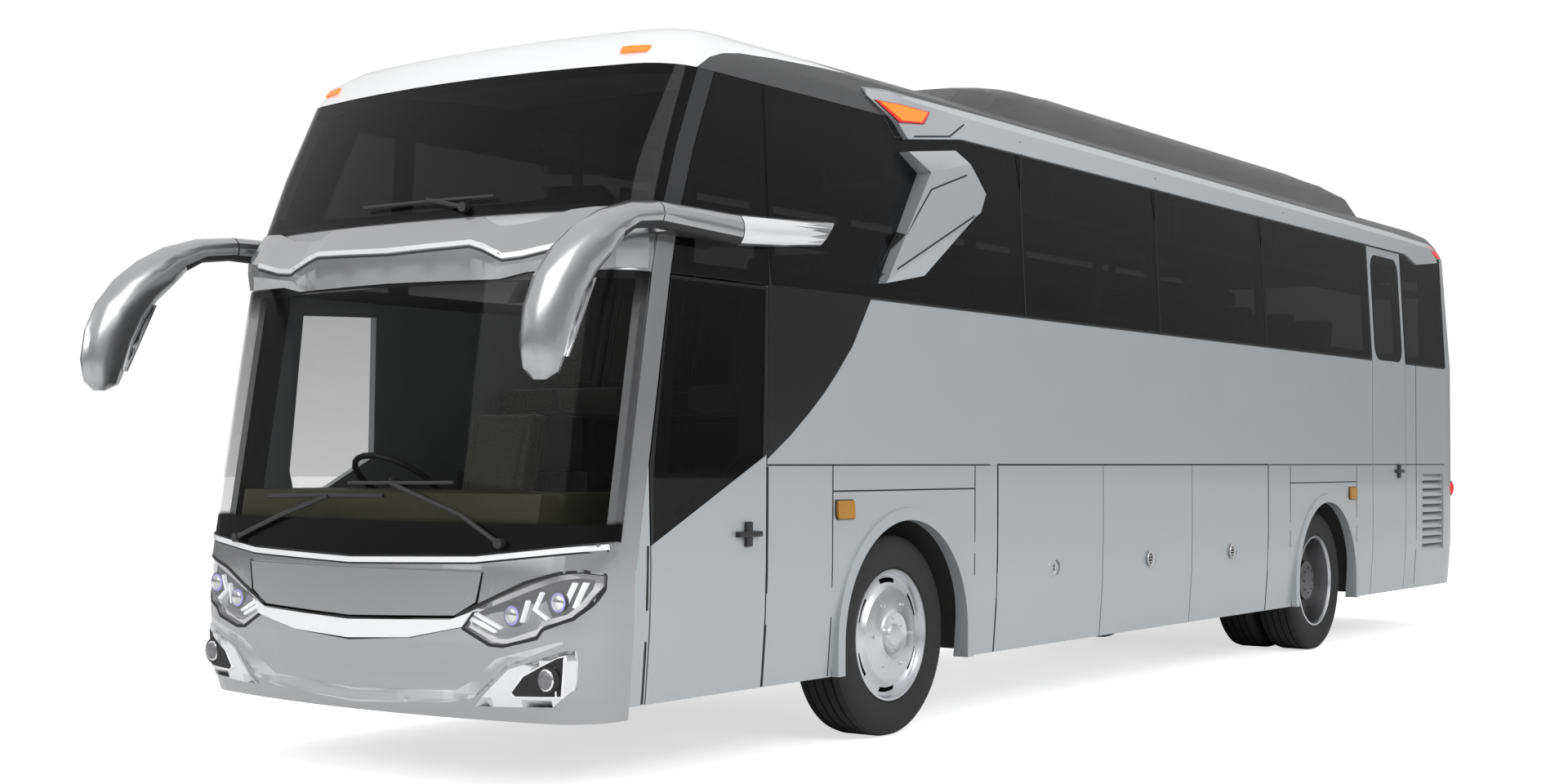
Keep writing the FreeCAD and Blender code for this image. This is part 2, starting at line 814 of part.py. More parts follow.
def front_door():
    leaf = side_half(skin(0, wall, skirt_z, belt_z - shut_gap)).common(front_door_region(0))
    pocket = side_prism(door_share_points(front_door_glass_shares), 0, body_width)
    leaf = leaf.cut(skin(-overrun, glass + seat_gap, skirt_z, belt_z).common(pocket))
    leaf = leaf.cut(side_prism(door_share_points(front_door_window_shares), 0, body_width))
    return leaf.fuse(door_bracket(door_front)).removeSplitter()


def front_door_glass():
    points = [V(x, 0, z) for x, z in door_share_points(front_door_glass_shares)]
    outline = polygon_face(points).makeOffset2D(-seat_gap).extrude(V(0, body_width, 0))
    return side_half(skin(0, glass, skirt_z, belt_z)).common(outline)


def rear_door_window(spread):
    x0 = station(rear_door_rear) + window_rail * 2
    x1 = station(rear_door_front) - window_rail * 2
    return rounded_block(x0 - spread, x1 + spread, 0, body_width, belt_z + window_rail - spread,
                         rear_door_top_z - window_rail * 2 + spread, window_radius + spread)


def rear_door():
    leaf = side_half(skin(0, wall, skirt_z, rear_door_top_z)).common(rear_door_region(0))
    pocket = rear_door_window(window_rail).common(skin(-overrun, glass + seat_gap, skirt_z, roof_z))
    leaf = leaf.cut(pocket).cut(rear_door_window(0))
    return leaf.fuse(door_bracket(rear_door_front)).removeSplitter()


def rear_door_glass():
    return side_half(skin(0, glass, skirt_z, roof_z - roof_rise)).common(rear_door_window(window_rail - seat_gap))


def driver_window_region():
    """Fixed window beside the driver, with the outline of the front door's glass."""
    pocket = side_prism(door_share_points(front_door_glass_shares), 0, body_width)
    pocket = pocket.common(skin(-overrun, glass + seat_gap, skirt_z, belt_z))
    return pocket.fuse(side_prism(door_share_points(front_door_window_shares), 0, body_width))


def door_post_place(door_edge):
    """Pivot of the swing arm, inside the wall near the door's front edge."""
    return V(station(door_edge) - arm_post_back, half_width - wall - arm_bar - arm_post_radius * 2, arm_z)


def door_pin_place(door_edge):
    return door_post_place(door_edge) - V(arm_length, 0, 0)


def door_bracket(door_edge):
    """Lug inside the leaf that holds the pin of the swing arm."""
    pin = door_pin_place(door_edge)
    half, _, _ = level_at(arm_z, wall_levels)
    lug_low = block(pin.x - arm_bar, pin.x + arm_bar, pin.y - arm_bar / 2, half - wall + seat_gap,
                    arm_z - arm_bar, arm_z)
    lug_high = lug_low.translated(V(0, 0, arm_height + arm_bar))
    post = rod(pin - V(0, 0, arm_bar), pin + V(0, 0, arm_height + arm_bar), arm_post_radius / 2)
    return lug_low.multiFuse([lug_high, post])


def door_arm(door_edge):
    """Swing arm with its post, from the body pivot to the leaf's pin."""
    post = door_post_place(door_edge)
    pin = door_pin_place(door_edge)
    rise = V(0, 0, arm_height)
    low = post + V(0, 0, running_gap)
    column = rod(low, post + rise - V(0, 0, running_gap), arm_post_radius)
    sleeve = rod(pin + V(0, 0, running_gap), pin + rise - V(0, 0, running_gap), arm_post_radius)
    bars = []
    for z in (arm_z + arm_bar, arm_z + arm_height - arm_bar * 2):
        bars.append(block(pin.x, post.x, post.y - arm_bar / 2, post.y + arm_bar / 2, z, z + arm_bar))
    arm = column.multiFuse([sleeve] + bars)
    bore_radius = arm_post_radius / 2 + running_gap
    arm = arm.cut(rod(pin, pin + rise, bore_radius))
    return arm.cut(rod(post, post + rise, bore_radius))


def door_posts():
    """Fixed pivots of both swing arms: pin, feet and their brackets to the wall."""
    posts = []
    for edge in (door_front, rear_door_front):
        post = door_post_place(edge)
        pin = rod(post - V(0, 0, arm_bar), post + V(0, 0, arm_height + arm_bar), arm_post_radius / 2)
        foot_front = station(edge) + shut_gap
        feet = []
        for z in (arm_z - arm_bar, arm_z + arm_height):
            feet.append(block(post.x - arm_post_radius, foot_front + wall, post.y - arm_bar / 2,
                              post.y + arm_bar / 2, z, z + arm_bar))
        half, _, _ = level_at(arm_z, wall_levels)
        plate = block(foot_front, foot_front + wall, post.y - arm_bar / 2, half - wall - seat_gap,
                      arm_z - arm_bar, arm_z + arm_height + arm_bar)
        posts.append(pin.multiFuse(feet + [plate]).removeSplitter())
    return posts


def luggage_hinge_rail():
    """Hinge rail set back in the seam over the luggage doors."""
    x0 = station(luggage_start + luggage_pitch * luggage_doors)
    x1 = station(luggage_start)
    z1 = hinge_z + shut_gap / 2
    low = z1 - shut_gap + seat_gap
    rail = side_half(skin(shut_gap, luggage_door_wall, low, z1))
    return rail.common(block(x0, x1, 0, body_width, low, z1))


def luggage_span(index):
    """Front and rear stations of one luggage door."""
    front = luggage_start + luggage_pitch * index
    return front, front + luggage_pitch - shut_gap


def luggage_door(index):
    front, rear = luggage_span(index)
    leaf = side_half(skin(0, luggage_door_wall, skirt_z, hinge_z - shut_gap / 2))
    leaf = leaf.common(block(station(rear), station(front), 0, body_width, 0, body_length))
    latch = latch_place(index)
    dish = Part.makeCylinder(latch_radius, overrun, latch, V(0, 1, 0))
    knob = Part.makeCylinder(latch_radius / 2, latch_depth, latch, V(0, 1, 0))
    return leaf.cut(dish).fuse(knob)


def latch_place(index):
    front, rear = luggage_span(index)
    x = station(front) - (rear - front) * latch_ahead_share
    half, _, _ = level_at(latch_z, wall_levels)
    return V(x, half - latch_depth, latch_z)


# Skirts below the windows
def arch_prism(axle_x, radius):
    """Wheel arch opening: a circle about the axle with straight sides below it."""
    centre = V(axle_x, 0, tyre_radius)
    round_part = Part.makeCylinder(radius, body_width, centre, V(0, 1, 0))
    return round_part.fuse(block(axle_x - radius, axle_x + radius, 0, body_width, 0, tyre_radius))


def arch_flare(axle_x):
    outer = arch_prism(axle_x, arch_radius + arch_lip).cut(arch_prism(axle_x, arch_radius))
    half, _, _ = level_at(shoulder_z, wall_levels)
    band = block(axle_x - body_width, axle_x + body_width, half - wall / 2, half + arch_lip_proud,
                 skirt_z, hinge_z)
    return outer.common(band)


def louvre_panel():
    """Sloping slats in the engine side panel, held between two end bars."""
    half, _, _ = level_at(shoulder_z, wall_levels)
    x0 = station(louvre_rear)
    x1 = station(louvre_front)
    pitch = (louvre_high_z - louvre_low_z) / louvre_count
    inner = half - wall
    outer = half - louvre_wall
    bars = []
    for i in range(louvre_count):
        z = louvre_low_z + pitch * i
        points = [(inner, z + pitch), (inner, z + pitch - louvre_wall), (outer, z), (outer, z + louvre_wall)]
        bars.append(front_prism(points, x0, x1))
    ends = [block(x, x + louvre_wall, inner, outer, louvre_low_z, louvre_high_z) for x in (x0, x1 - louvre_wall)]
    return ends[0].multiFuse(ends[1:] + bars)


def louvre_hole():
    return block(station(louvre_rear) + louvre_wall / 2, station(louvre_front) - louvre_wall / 2, 0, body_width,
                 louvre_low_z + louvre_wall, louvre_high_z - louvre_wall)


def skirt(has_doors):
    top = hinge_z + shut_gap / 2
    outer = side_half(skin(0, wall, skirt_z, top))
    outer = outer.common(block(x_rear + tail_depth, station(corner_seam), 0, body_width, 0, body_length))
    if has_doors:
        outer = outer.cut(front_door_region(shut_gap))
        outer = outer.cut(rear_door_region(shut_gap))
    else:
        outer = outer.cut(driver_window_region())
    outer = outer.cut(nose_band(-body_width, pillar_rear, shoulder_z, top))
    for axle_x in (front_axle_x, rear_axle_x):
        outer = outer.cut(arch_prism(axle_x, arch_radius))
    luggage_end = luggage_start + luggage_pitch * luggage_doors
    outer = outer.cut(block(station(luggage_end), station(luggage_start - shut_gap), 0, body_width, 0, top))
    outer = outer.cut(louvre_hole())
    flares = [arch_flare(x) for x in (front_axle_x, rear_axle_x)]
    return outer.multiFuse(flares + [louvre_panel()]).removeSplitter()


# Rear end
def rear_window_prism(spread):
    y = rear_glass_half_width + spread
    points = [(y, rear_glass_low_z - spread), (y, rear_glass_top_z + spread),
              (-y, rear_glass_top_z + spread), (-y, rear_glass_low_z - spread)]
    return front_prism(points, x_rear - overrun, x_rear + tail_depth / 2)


def tail_lamp_region(spread):
    y1 = half_width - tail_corner_radius / 2
    y0 = y1 - tail_lamp_width
    return block(x_rear - overrun, x_rear + tail_depth, y0 - spread, y1 + spread,
                 tail_lamp_low_z - spread, tail_lamp_top_z + spread)


def lid_region(spread):
    y = lid_half_width + spread
    return block(x_rear - overrun, x_rear + tail_depth / 2, -y, y, lid_low_z - spread, lid_top_z + spread)


def rear_mask():
    shell = skin(0, wall, skirt_z, window_top_z)
    shell = shell.common(block(x_rear - overrun, x_rear + tail_depth, -body_width, body_width, 0, body_length))
    shell = shell.cut(lid_region(shut_gap))
    hinge = skin(shut_gap, wall, lid_top_z + seat_gap, lid_top_z + shut_gap)
    y = lid_half_width + shut_gap
    shell = shell.fuse(hinge.common(block(x_rear, x_rear + tail_depth, -y, y, lid_top_z, window_top_z)))
    rebate = skin(-overrun, glass + seat_gap, belt_z, window_top_z).common(rear_window_prism(0))
    shell = shell.cut(rebate).cut(rear_window_prism(-band_flange))
    pocket = skin(-overrun, tail_lamp_depth + seat_gap, skirt_z, belt_z).common(tail_lamp_region(0))
    return shell.cut(pocket).cut(mirrored(pocket)).removeSplitter()


def engine_lid():
    return skin(0, wall, lid_low_z, lid_top_z).common(lid_region(0))


def rear_window():
    return skin(0, glass, belt_z, window_top_z).common(rear_window_prism(-seat_gap))


def tail_lamps():
    lens = skin(0, tail_lamp_depth, skirt_z, belt_z).common(tail_lamp_region(-seat_gap))
    return both_sides(lens)


# Roof
def roof_shell():
    outer = hull(0, window_top_z, roof_z, roof_levels)
    void = hull(wall, window_top_z - overrun, roof_z - ceiling_drop, roof_levels)
    return outer.cut(void)


def cap_region():
    """Cap outline as seen from the side: a broad front that runs back as a narrow strip on each flank."""
    points = [(station(cap_length * x), window_top_z + roof_rise * z) for x, z in cap_shares]
    top = points[-1][1]
    ahead = x_front + overrun
    return side_prism(points + [(ahead, top), (ahead, window_top_z)], -body_width, body_width)


def roof():
    return roof_shell().cut(cap_region()).cut(cove_region())


def front_cap():
    return roof_shell().common(cap_region())


def cove_section(share, low, crease, high, proud):
    """Upright section of the strip at one place along the body."""
    x = station(cove_head + (cove_foot - cove_head) * share)
    rise = cove_high_z - cove_low_z
    outline = []
    for z_share, out in ((low, proud / 2), (crease, proud), (high, 0)):
        z = cove_low_z + rise * z_share
        levels = wall_levels if z < window_top_z else roof_levels
        outline.append((plan_reach(x, z, levels) + cove_proud * out, z))
    inner = min(y for y, z in outline) - wall / 2
    low_z, high_z = outline[0][1], outline[-1][1]
    outline += [(inner, high_z), (inner, low_z)]
    return Part.makePolygon([V(x, y, z) for y, z in outline + outline[:1]])


def plan_reach(x, z, levels):
    """Half width of the body at one place along it, drawn in where the rear corner turns."""
    half, _, tail = level_at(z, levels)
    ahead_of_tail = x - tail
    if ahead_of_tail > tail_corner_radius:
        return half
    depth = tail_corner_radius - ahead_of_tail
    return half - tail_corner_radius + math.sqrt(max(tail_corner_radius ** 2 - depth ** 2, 0))


def cove_strip():
    return Part.makeLoft([cove_section(*row) for row in cove_shares], True, True)


def cove_region():
    """Raised strips along both edges of the roof, over the windows."""
    return both_sides(cove_strip())


def beyond(corner, second, third):
    """Thick slab on the outer side of a plane through three places on the left."""
    normal = (second - corner).cross(third - corner)
    if normal.y < 0:
        normal = -normal
    size = body_width * 2
    slab = Part.makeBox(size, size, size, V(-size / 2, -size / 2, 0))
    turn = FreeCAD.Rotation(V(0, 0, 1), normal)
    slab.Placement = FreeCAD.Placement(corner, turn)
    return slab


def leaf_trim():
    """Faceted leaf that stands on the side glass below the strip's head."""
    base_y = level_at(leaf_low_z, wall_levels)[0]
    points = [(station(leaf_front + leaf_length * x), leaf_low_z + leaf_height * z) for x, z in leaf_shares]
    leaf = side_prism(points, base_y - wall, base_y + leaf_proud * 2)
    for plane in leaf_plane_shares:
        corners = [V(station(leaf_front + leaf_length * x), base_y + leaf_proud * y, leaf_low_z + leaf_height * z)
                   for x, z, y in plane]
        leaf = leaf.cut(beyond(*corners))
    return leaf.cut(hull(-seat_gap, skirt_z, window_top_z))


def roof_coves():
    strip = cove_strip().cut(hull(wall / 2, window_top_z, roof_z, roof_levels))
    strip = strip.cut(hull(-seat_gap, belt_z, window_top_z))
    return Part.makeCompound([both_sides(strip), both_sides(leaf_trim())])


def pod_wire(z, front, rear, side):
    """Level outline of the roof unit with rounded corners."""
    x0 = station(pod_rear) + rear
    x1 = station(pod_front) - front
    y1 = pod_half_width - side
    r = min(pod_radius, y1)
    points = []
    for x, y, start in ((x1 - r, y1 - r, 0), (x0 + r, y1 - r, 1), (x0 + r, r - y1, 2), (x1 - r, r - y1, 3)):
        for i in range(pod_corner_steps + 1):
            a = math.pi / 2 * (start + i / pod_corner_steps)
            points.append(V(x + r * math.cos(a), y + r * math.sin(a), z))
    return Part.makePolygon(points + points[:1])


def ac_unit():
    rise = pod_top_z - pod_seat_z
    wires = [
        pod_wire(pod_seat_z + rise * h, pod_front_slope * f, pod_rear_slope * b, pod_side_slope * w)
        for h, f, b, w in pod_shares
    ]
    return Part.makeLoft(wires, True, True).cut(hull(0, window_top_z, roof_z, roof_levels))


# Mirrors
def mirror_place(ahead, height):
    """Side view place of a share of the mirror's span and drop."""
    tip = x_front + mirror_reach
    return tip - mirror_span * (1 - ahead), mirror_low_z + (mirror_top_z - mirror_low_z) * height


def mirror_section(x_outer, z_outer, x_inner, z_inner, out, wide):
    """Oval section whose long axis runs from the outer edge to the inner one."""
    outer_x, outer_z = mirror_place(x_outer, z_outer)
    inner_x, inner_z = mirror_place(x_inner, z_inner)
    y = half_width + mirror_out * out
    centre = V((outer_x + inner_x) / 2, y, (outer_z + inner_z) / 2)
    long_way = V(outer_x, y, outer_z) - centre
    points = []
    for i in range(mirror_sides):
        a = math.tau * i / mirror_sides
        points.append(centre + long_way * math.cos(a) + V(0, mirror_width * wide / 2 * math.sin(a), 0))
    return Part.makePolygon(points + points[:1])


def mirror_glass_frame():
    """Upper and lower end of the glass seat and the way it faces, to the rear."""
    (x0, z0), (x1, z1) = [mirror_place(*share) for share in mirror_glass_shares]
    along = V(x1 - x0, 0, z1 - z0)
    behind = V(along.z, 0, -along.x).normalize()
    return V(x0, half_width + mirror_out, z0), along, behind


def mirror_slab(low, high, width):
    """Plate on the glass seat between two distances behind it."""
    start, along, behind = mirror_glass_frame()
    corner = start + behind * low - V(0, width / 2, 0)
    face = polygon_face([corner, corner + along, corner + along + V(0, width, 0), corner + V(0, width, 0)])
    return face.extrude(behind * (high - low))


def mirror_unit():
    """Fin that runs forward along the side glass, bends out and drops into the mirror housing."""
    arm = Part.makeLoft([mirror_section(*row) for row in mirror_shares], True, True)
    seat = arm.cut(mirror_slab(0, mirror_span, mirror_width * 2))
    z1 = mirror_place(0, mirror_shares[3][3])[1]
    band_end, _ = nose_frame(band_shares[-1][0], z1)
    x1 = band_end.x - shut_gap
    foot = block(x1 - mirror_foot_length, x1, half_width - wall, half_width + mirror_out * mirror_shares[2][4],
                 z1, z1 + mirror_foot_height)
    unit = seat.fuse(foot).cut(hull(-seat_gap, belt_z, brow_z))
    return max(unit.Solids, key=lambda solid: solid.Volume)


def mirror_pane():
    return mirror_slab(seat_gap, mirror_glass_wall, mirror_glass_width)


def wheel_form(outline, sides=wheel_sides):
    """Many-sided ring about the Y axis from a closed outline of (radius, y) points."""
    rings = []
    for r, y in outline:
        angles = [math.tau * k / sides for k in range(sides)]
        rings.append([V(r * math.sin(a), y, r * math.cos(a)) for a in angles])
    faces = []
    for i, first in enumerate(rings):
        second = rings[(i + 1) % len(rings)]
        for k in range(sides):
            n = (k + 1) % sides
            corners = [first[k], first[n], second[n], second[k]]
            distinct = [c for j, c in enumerate(corners) if (c - corners[j - 1]).Length > seat_gap]
            if len(distinct) > 2:
                faces.append(polygon_face(distinct))
    shell = Part.makeShell(faces)
    shell.sewShape()
    solid = Part.makeSolid(Part.Shell(shell.Faces))
    if solid.Volume < 0:
        solid.reverse()
    return solid


def wheel_tyre(face_y):
    """Tyre about the wheel's own axis; its bulging outer side reaches face_y."""
    outline = []
    for r, inset in tyre_shares:
        outline.append((tyre_bead_radius + (tyre_radius - tyre_bead_radius) * r, face_y - tyre_width * inset))
    for r, inset in reversed(tyre_shares):
        outline.append((tyre_bead_radius + (tyre_radius - tyre_bead_radius) * r, face_y - tyre_width * (1 - inset)))
    return wheel_form(outline)


def twin_tyres():
    return Part.makeCompound([wheel_tyre(wheel_face_y), wheel_tyre(wheel_face_y - twin_pitch)])


def placed(shape, axle_x):
    return shape.translated(V(axle_x, 0, tyre_radius))


def rim_outline(face_y, disc_y, hub_reach):
    """Half section of a rim: barrel, dished disc and the raised middle."""
    inner_y = face_y - tyre_width + rim_edge
    outer_y = face_y - rim_edge
    barrel = rim_radius - rim_wall
    return [
        (rim_radius, inner_y), (rim_radius, outer_y), (barrel, outer_y), (barrel, disc_y - disc_wall),
        (vent_inner - disc_wall, disc_y), (hub_radius, disc_y), (hub_radius - disc_wall, disc_y + hub_reach),
        (0, disc_y + hub_reach), (0, disc_y - disc_wall * 2), (barrel, disc_y - disc_wall * 2), (barrel, inner_y),
    ]


def axle_cap(disc_y, hub_reach):
    """Round cap on the wheel's axis."""
    start = V(0, disc_y + hub_reach - seat_gap, 0)
    return rod(start, start + V(0, disc_wall, 0), hub_radius / 2)


def vents():
    """Openings round a front rim, between its ring and its disc."""
    cuts = []
    for i in range(vent_count):
        middle = math.tau * i / vent_count
        spread = math.radians(vent_spread / 2)
        corners = []
        for r, a in ((vent_inner, -spread), (vent_outer, -spread), (vent_outer, 0), (vent_outer, spread),
                     (vent_inner, spread), (vent_inner, 0)):
            corners.append(V(r * math.sin(middle + a), 0, r * math.cos(middle + a)))
        cuts.append(polygon_face(corners).extrude(V(0, body_width, 0)))
    return cuts


def front_rim():
    disc_y = wheel_face_y - front_disc_inset
    rim = wheel_form(rim_outline(wheel_face_y, disc_y, front_hub_reach))
    for vent in vents():
        rim = rim.cut(vent)
    return rim.fuse(axle_cap(disc_y, front_hub_reach)).removeSplitter()


def twin_disc_y():
    """Plane where the two discs of a rear pair are bolted together."""
    return wheel_face_y - (tyre_width + twin_pitch) / 2


def twin_rims():
    """Deep outer rim and the inner rim whose disc reaches out to meet it."""
    disc_y = twin_disc_y()
    outer = wheel_form(rim_outline(wheel_face_y, disc_y + disc_wall * 2, rear_hub_reach))
    face_y = wheel_face_y - twin_pitch
    barrel = rim_radius - rim_wall
    inner = wheel_form([
        (rim_radius, face_y - tyre_width + rim_edge), (rim_radius, face_y - rim_edge),
        (hub_radius + disc_wall * dish_step_share, disc_y), (0, disc_y), (0, disc_y - disc_wall),
        (hub_radius + disc_wall * 2, disc_y - disc_wall), (barrel, face_y - rim_edge - disc_wall),
        (barrel, face_y - tyre_width + rim_edge),
    ])
    cap = axle_cap(disc_y + disc_wall * 2, rear_hub_reach)
    return outer.multiFuse([inner, cap]).removeSplitter()


# Running gear
def front_axle():
    z = tyre_radius - axle_drop
    reach = kingpin_y - knuckle_radius * beam_inset_share
    beam = block(front_axle_x - beam_width / 2, front_axle_x + beam_width / 2, -reach, reach, z - beam_height, z)
    ends = []
    for side in (1, -1):
        y = side * kingpin_y
        eye = rod(V(front_axle_x, y, tyre_radius - beam_height / 2),
                  V(front_axle_x, y, tyre_radius + beam_height / 2), knuckle_radius)
        web = block(front_axle_x - web_width / 2, front_axle_x + web_width / 2,
                    min(y, y - side * knuckle_radius * 2), max(y, y - side * knuckle_radius * 2),
                    z - beam_height, tyre_radius + beam_height / 2)
        jaw_room = rod(V(front_axle_x, y, 0), V(front_axle_x, y, tyre_radius - beam_height / 2),
                       knuckle_radius + steer_clearance)
        web = web.cut(jaw_room)
        pin = rod(V(front_axle_x, y, tyre_radius - kingpin_height / 2),
                  V(front_axle_x, y, tyre_radius + kingpin_height / 2), kingpin_radius)
        ends += [eye, web, pin]
    return beam.multiFuse(ends).removeSplitter()


def knuckle():
    """Left steering knuckle: two jaws round the axle's eye, spindle and steering arm."""
    x, y = front_axle_x, kingpin_y
    jaws = []
    for low, high in ((-kingpin_height / 2, -beam_height / 2 - running_gap),
                      (beam_height / 2 + running_gap, kingpin_height / 2)):
        jaws.append(rod(V(x, y, tyre_radius + low), V(x, y, tyre_radius + high), knuckle_radius))
    gap_y = y + knuckle_radius + overrun * jaw_gap_share
    back = block(x - knuckle_radius, x + knuckle_radius, gap_y, gap_y + knuckle_radius,
                 tyre_radius - kingpin_height / 2, tyre_radius + kingpin_height / 2)
    bridges = []
    for low, high in ((-kingpin_height / 2, -beam_height / 2 - running_gap),
                      (beam_height / 2 + running_gap, kingpin_height / 2)):
        bridges.append(block(x - knuckle_radius, x + knuckle_radius, y, gap_y, tyre_radius + low, tyre_radius + high))
    disc_y = wheel_face_y - front_disc_inset - disc_wall * 2
    spindle = rod(V(x, gap_y, tyre_radius), V(x, disc_y - seat_gap, tyre_radius), spindle_radius)
    arm_z0 = tyre_radius - kingpin_height / 2
    arm = block(x - steer_arm, x, y - tie_rod_radius, y + tie_rod_radius, arm_z0, arm_z0 + tie_rod_radius * 2)
    tip = rod(V(x - steer_arm, y, arm_z0), V(x - steer_arm, y, arm_z0 + tie_rod_radius * 2), ball_radius)
    solid = jaws[0].multiFuse(jaws[1:] + bridges + [back, spindle, arm, tip])
    bore = rod(V(x, y, 0), V(x, y, body_width), kingpin_radius + running_gap)
    pin_bore = rod(V(x - steer_arm, y, 0), V(x - steer_arm, y, tyre_radius), tie_rod_radius / 2 + running_gap)
    return solid.cut(bore).cut(pin_bore).removeSplitter()


def tie_rod():
    z_arm = tyre_radius - kingpin_height / 2
    z = z_arm - tie_rod_radius - running_gap
    x = front_axle_x - steer_arm
    bar = rod(V(x, -kingpin_y, z), V(x, kingpin_y, z), tie_rod_radius)
    pins = [rod(V(x, side * kingpin_y, z), V(x, side * kingpin_y, z_arm + tie_rod_radius * 2), tie_rod_radius / 2)
            for side in (1, -1)]
    return bar.multiFuse(pins).removeSplitter()


def rear_axle():
    disc_y = twin_disc_y() - disc_wall
    tube = rod(V(rear_axle_x, -disc_y + seat_gap, tyre_radius), V(rear_axle_x, disc_y - seat_gap, tyre_radius),
               axle_tube_radius)
    diff = rod(V(rear_axle_x, -diff_length / 2, tyre_radius), V(rear_axle_x, diff_length / 2, tyre_radius), diff_radius)
    nose = Part.makeCone(diff_radius / 2, shaft_radius * pinion_share, diff_radius * pinion_reach_share,
                         V(rear_axle_x, 0, tyre_radius), V(-1, 0, 0))
    return tube.multiFuse([diff, nose]).removeSplitter()


def air_springs():
    """Rolling-lobe springs between the axles and the frame."""
    springs = []
    frame_low = rail_z
    for axle_x, y, low in ((front_axle_x, front_spring_y, tyre_radius - axle_drop),
                           (rear_axle_x, rear_spring_y, tyre_radius + axle_tube_radius)):
        for side in (1, -1):
            base = V(axle_x, side * y, low)
            springs.append(rod(base, V(axle_x, side * y, frame_low - seat_gap), bellows_radius))
    return Part.makeCompound(springs)


# Chassis and floors
def chassis_frame():
    """Long rails over the axles, stepped down to a low frame under the driver's floor."""
    parts = []
    x0 = x_rear + tail_depth
    x1 = station(cockpit_length) - floor_thickness * 2
    low_top = cockpit_floor_z - floor_thickness - seat_gap
    low_z = low_top - rail_low_height
    low_x1 = station(corner_seam + wall)
    for side in (1, -1):
        y0 = side * rail_y - rail_width / 2
        y1 = side * rail_y + rail_width / 2
        parts.append(block(x0, x1, y0, y1, rail_z, rail_z + rail_height))
        parts.append(block(x1 - rail_width, x1, y0, y1, low_z, rail_z))
        parts.append(block(x1 - rail_width, low_x1, y0, y1, low_z, low_top))
    spread = spring_offset * 2
    stations = (rear_axle_x - spread, rear_axle_x, rear_axle_x + spread, front_axle_x - spread)
    for x in stations + (front_axle_x - cross_member,):
        parts.append(block(x, x + cross_member, -rail_y, rail_y, rail_z, rail_z + rail_height))
    for x in (x1, low_x1 - cross_member):
        parts.append(block(x, x + cross_member, -rail_y, rail_y, low_z, low_top))
    for side in (1, -1):
        parts.append(tow_eye(side * rail_y, low_x1, low_top))
    frame = parts[0].multiFuse(parts[1:])
    for side in (1, -1):
        frame = frame.cut(tow_bore(side * rail_y, low_x1, low_top))
    return frame.removeSplitter()


def tow_eye_centre(y, x, z):
    return V(x + tow_eye_radius, y, z - rail_low_height)


def tow_eye(y, x, z):
    """Flat towing eye at the front of a low rail; its pin goes in from below."""
    centre = tow_eye_centre(y, x, z)
    rise = V(0, 0, tow_eye_thickness)
    ring = rod(centre, centre + rise, tow_eye_radius)
    neck = block(x - tow_eye_thickness, centre.x, y - tow_eye_radius, y + tow_eye_radius,
                 centre.z, centre.z + tow_eye_thickness)
    return ring.fuse(neck)


def tow_bore(y, x, z):
    centre = tow_eye_centre(y, x, z)
    rise = V(0, 0, tow_eye_thickness)
    return rod(centre - rise, centre + rise * 2, tow_eye_bore)


def stair_flight(x0, x1, y0, y1, along):
    """Thin treads and risers from the low floor to the saloon floor, along -X or inward across Y."""
    low = cockpit_floor_z
    rise = (saloon_floor_z - low) / step_rise_count
    run = ((x1 - x0) if along else (y1 - y0)) / (step_rise_count - 1)
    parts = []
    for i in range(step_rise_count):
        z = low + rise * i
        if along:
            x = x1 - run * i
            parts.append(block(x - step_sheet, x, y0, y1, z - step_sheet, z + rise))
            if i:
                parts.append(block(x - step_sheet, x + run, y0, y1, z - step_sheet, z))
        else:
            y = y1 - run * i
            parts.append(block(x0, x1, y - step_sheet, y, z - step_sheet, z + rise))
            if i:
                parts.append(block(x0, x1, y - step_sheet, y + run, z - step_sheet, z))
    return parts


def wheel_house(axle_x):
    """Half round liner over a wheel with its inner wall, both sides."""
    z1 = saloon_floor_z - floor_thickness
    outer_y = level_at(shoulder_z, wall_levels)[0] - wall - seat_gap
    centre = V(axle_x, liner_inner_y, tyre_radius)
    length = outer_y - liner_inner_y
    shell = Part.makeCylinder(liner_radius, length, centre, V(0, 1, 0))
    shell = shell.cut(Part.makeCylinder(liner_radius - liner_wall, length * 2, centre, V(0, 1, 0)))
    shell = shell.common(block(axle_x - liner_radius, axle_x + liner_radius, 0, body_width, tyre_radius, z1))
    sides = []
    for x in (axle_x - liner_radius, axle_x + liner_radius - liner_wall):
        sides.append(block(x, x + liner_wall, liner_inner_y, outer_y, hold_floor_z, z1))
    house = shell.multiFuse(sides).common(hull(wall + seat_gap, hold_floor_z, z1))
    return house.cut(block(axle_x - body_width, axle_x + body_width, 0, rail_y + rail_width / 2 + seat_gap, 0, z1))


def rail_clearance(x0, x1):
    """Room round the left frame rail between two places."""
    y0 = rail_y - rail_width / 2 - seat_gap
    return block(x0, x1, y0, y0 + rail_width + seat_gap * 2, rail_z - seat_gap, rail_z + rail_height + seat_gap)


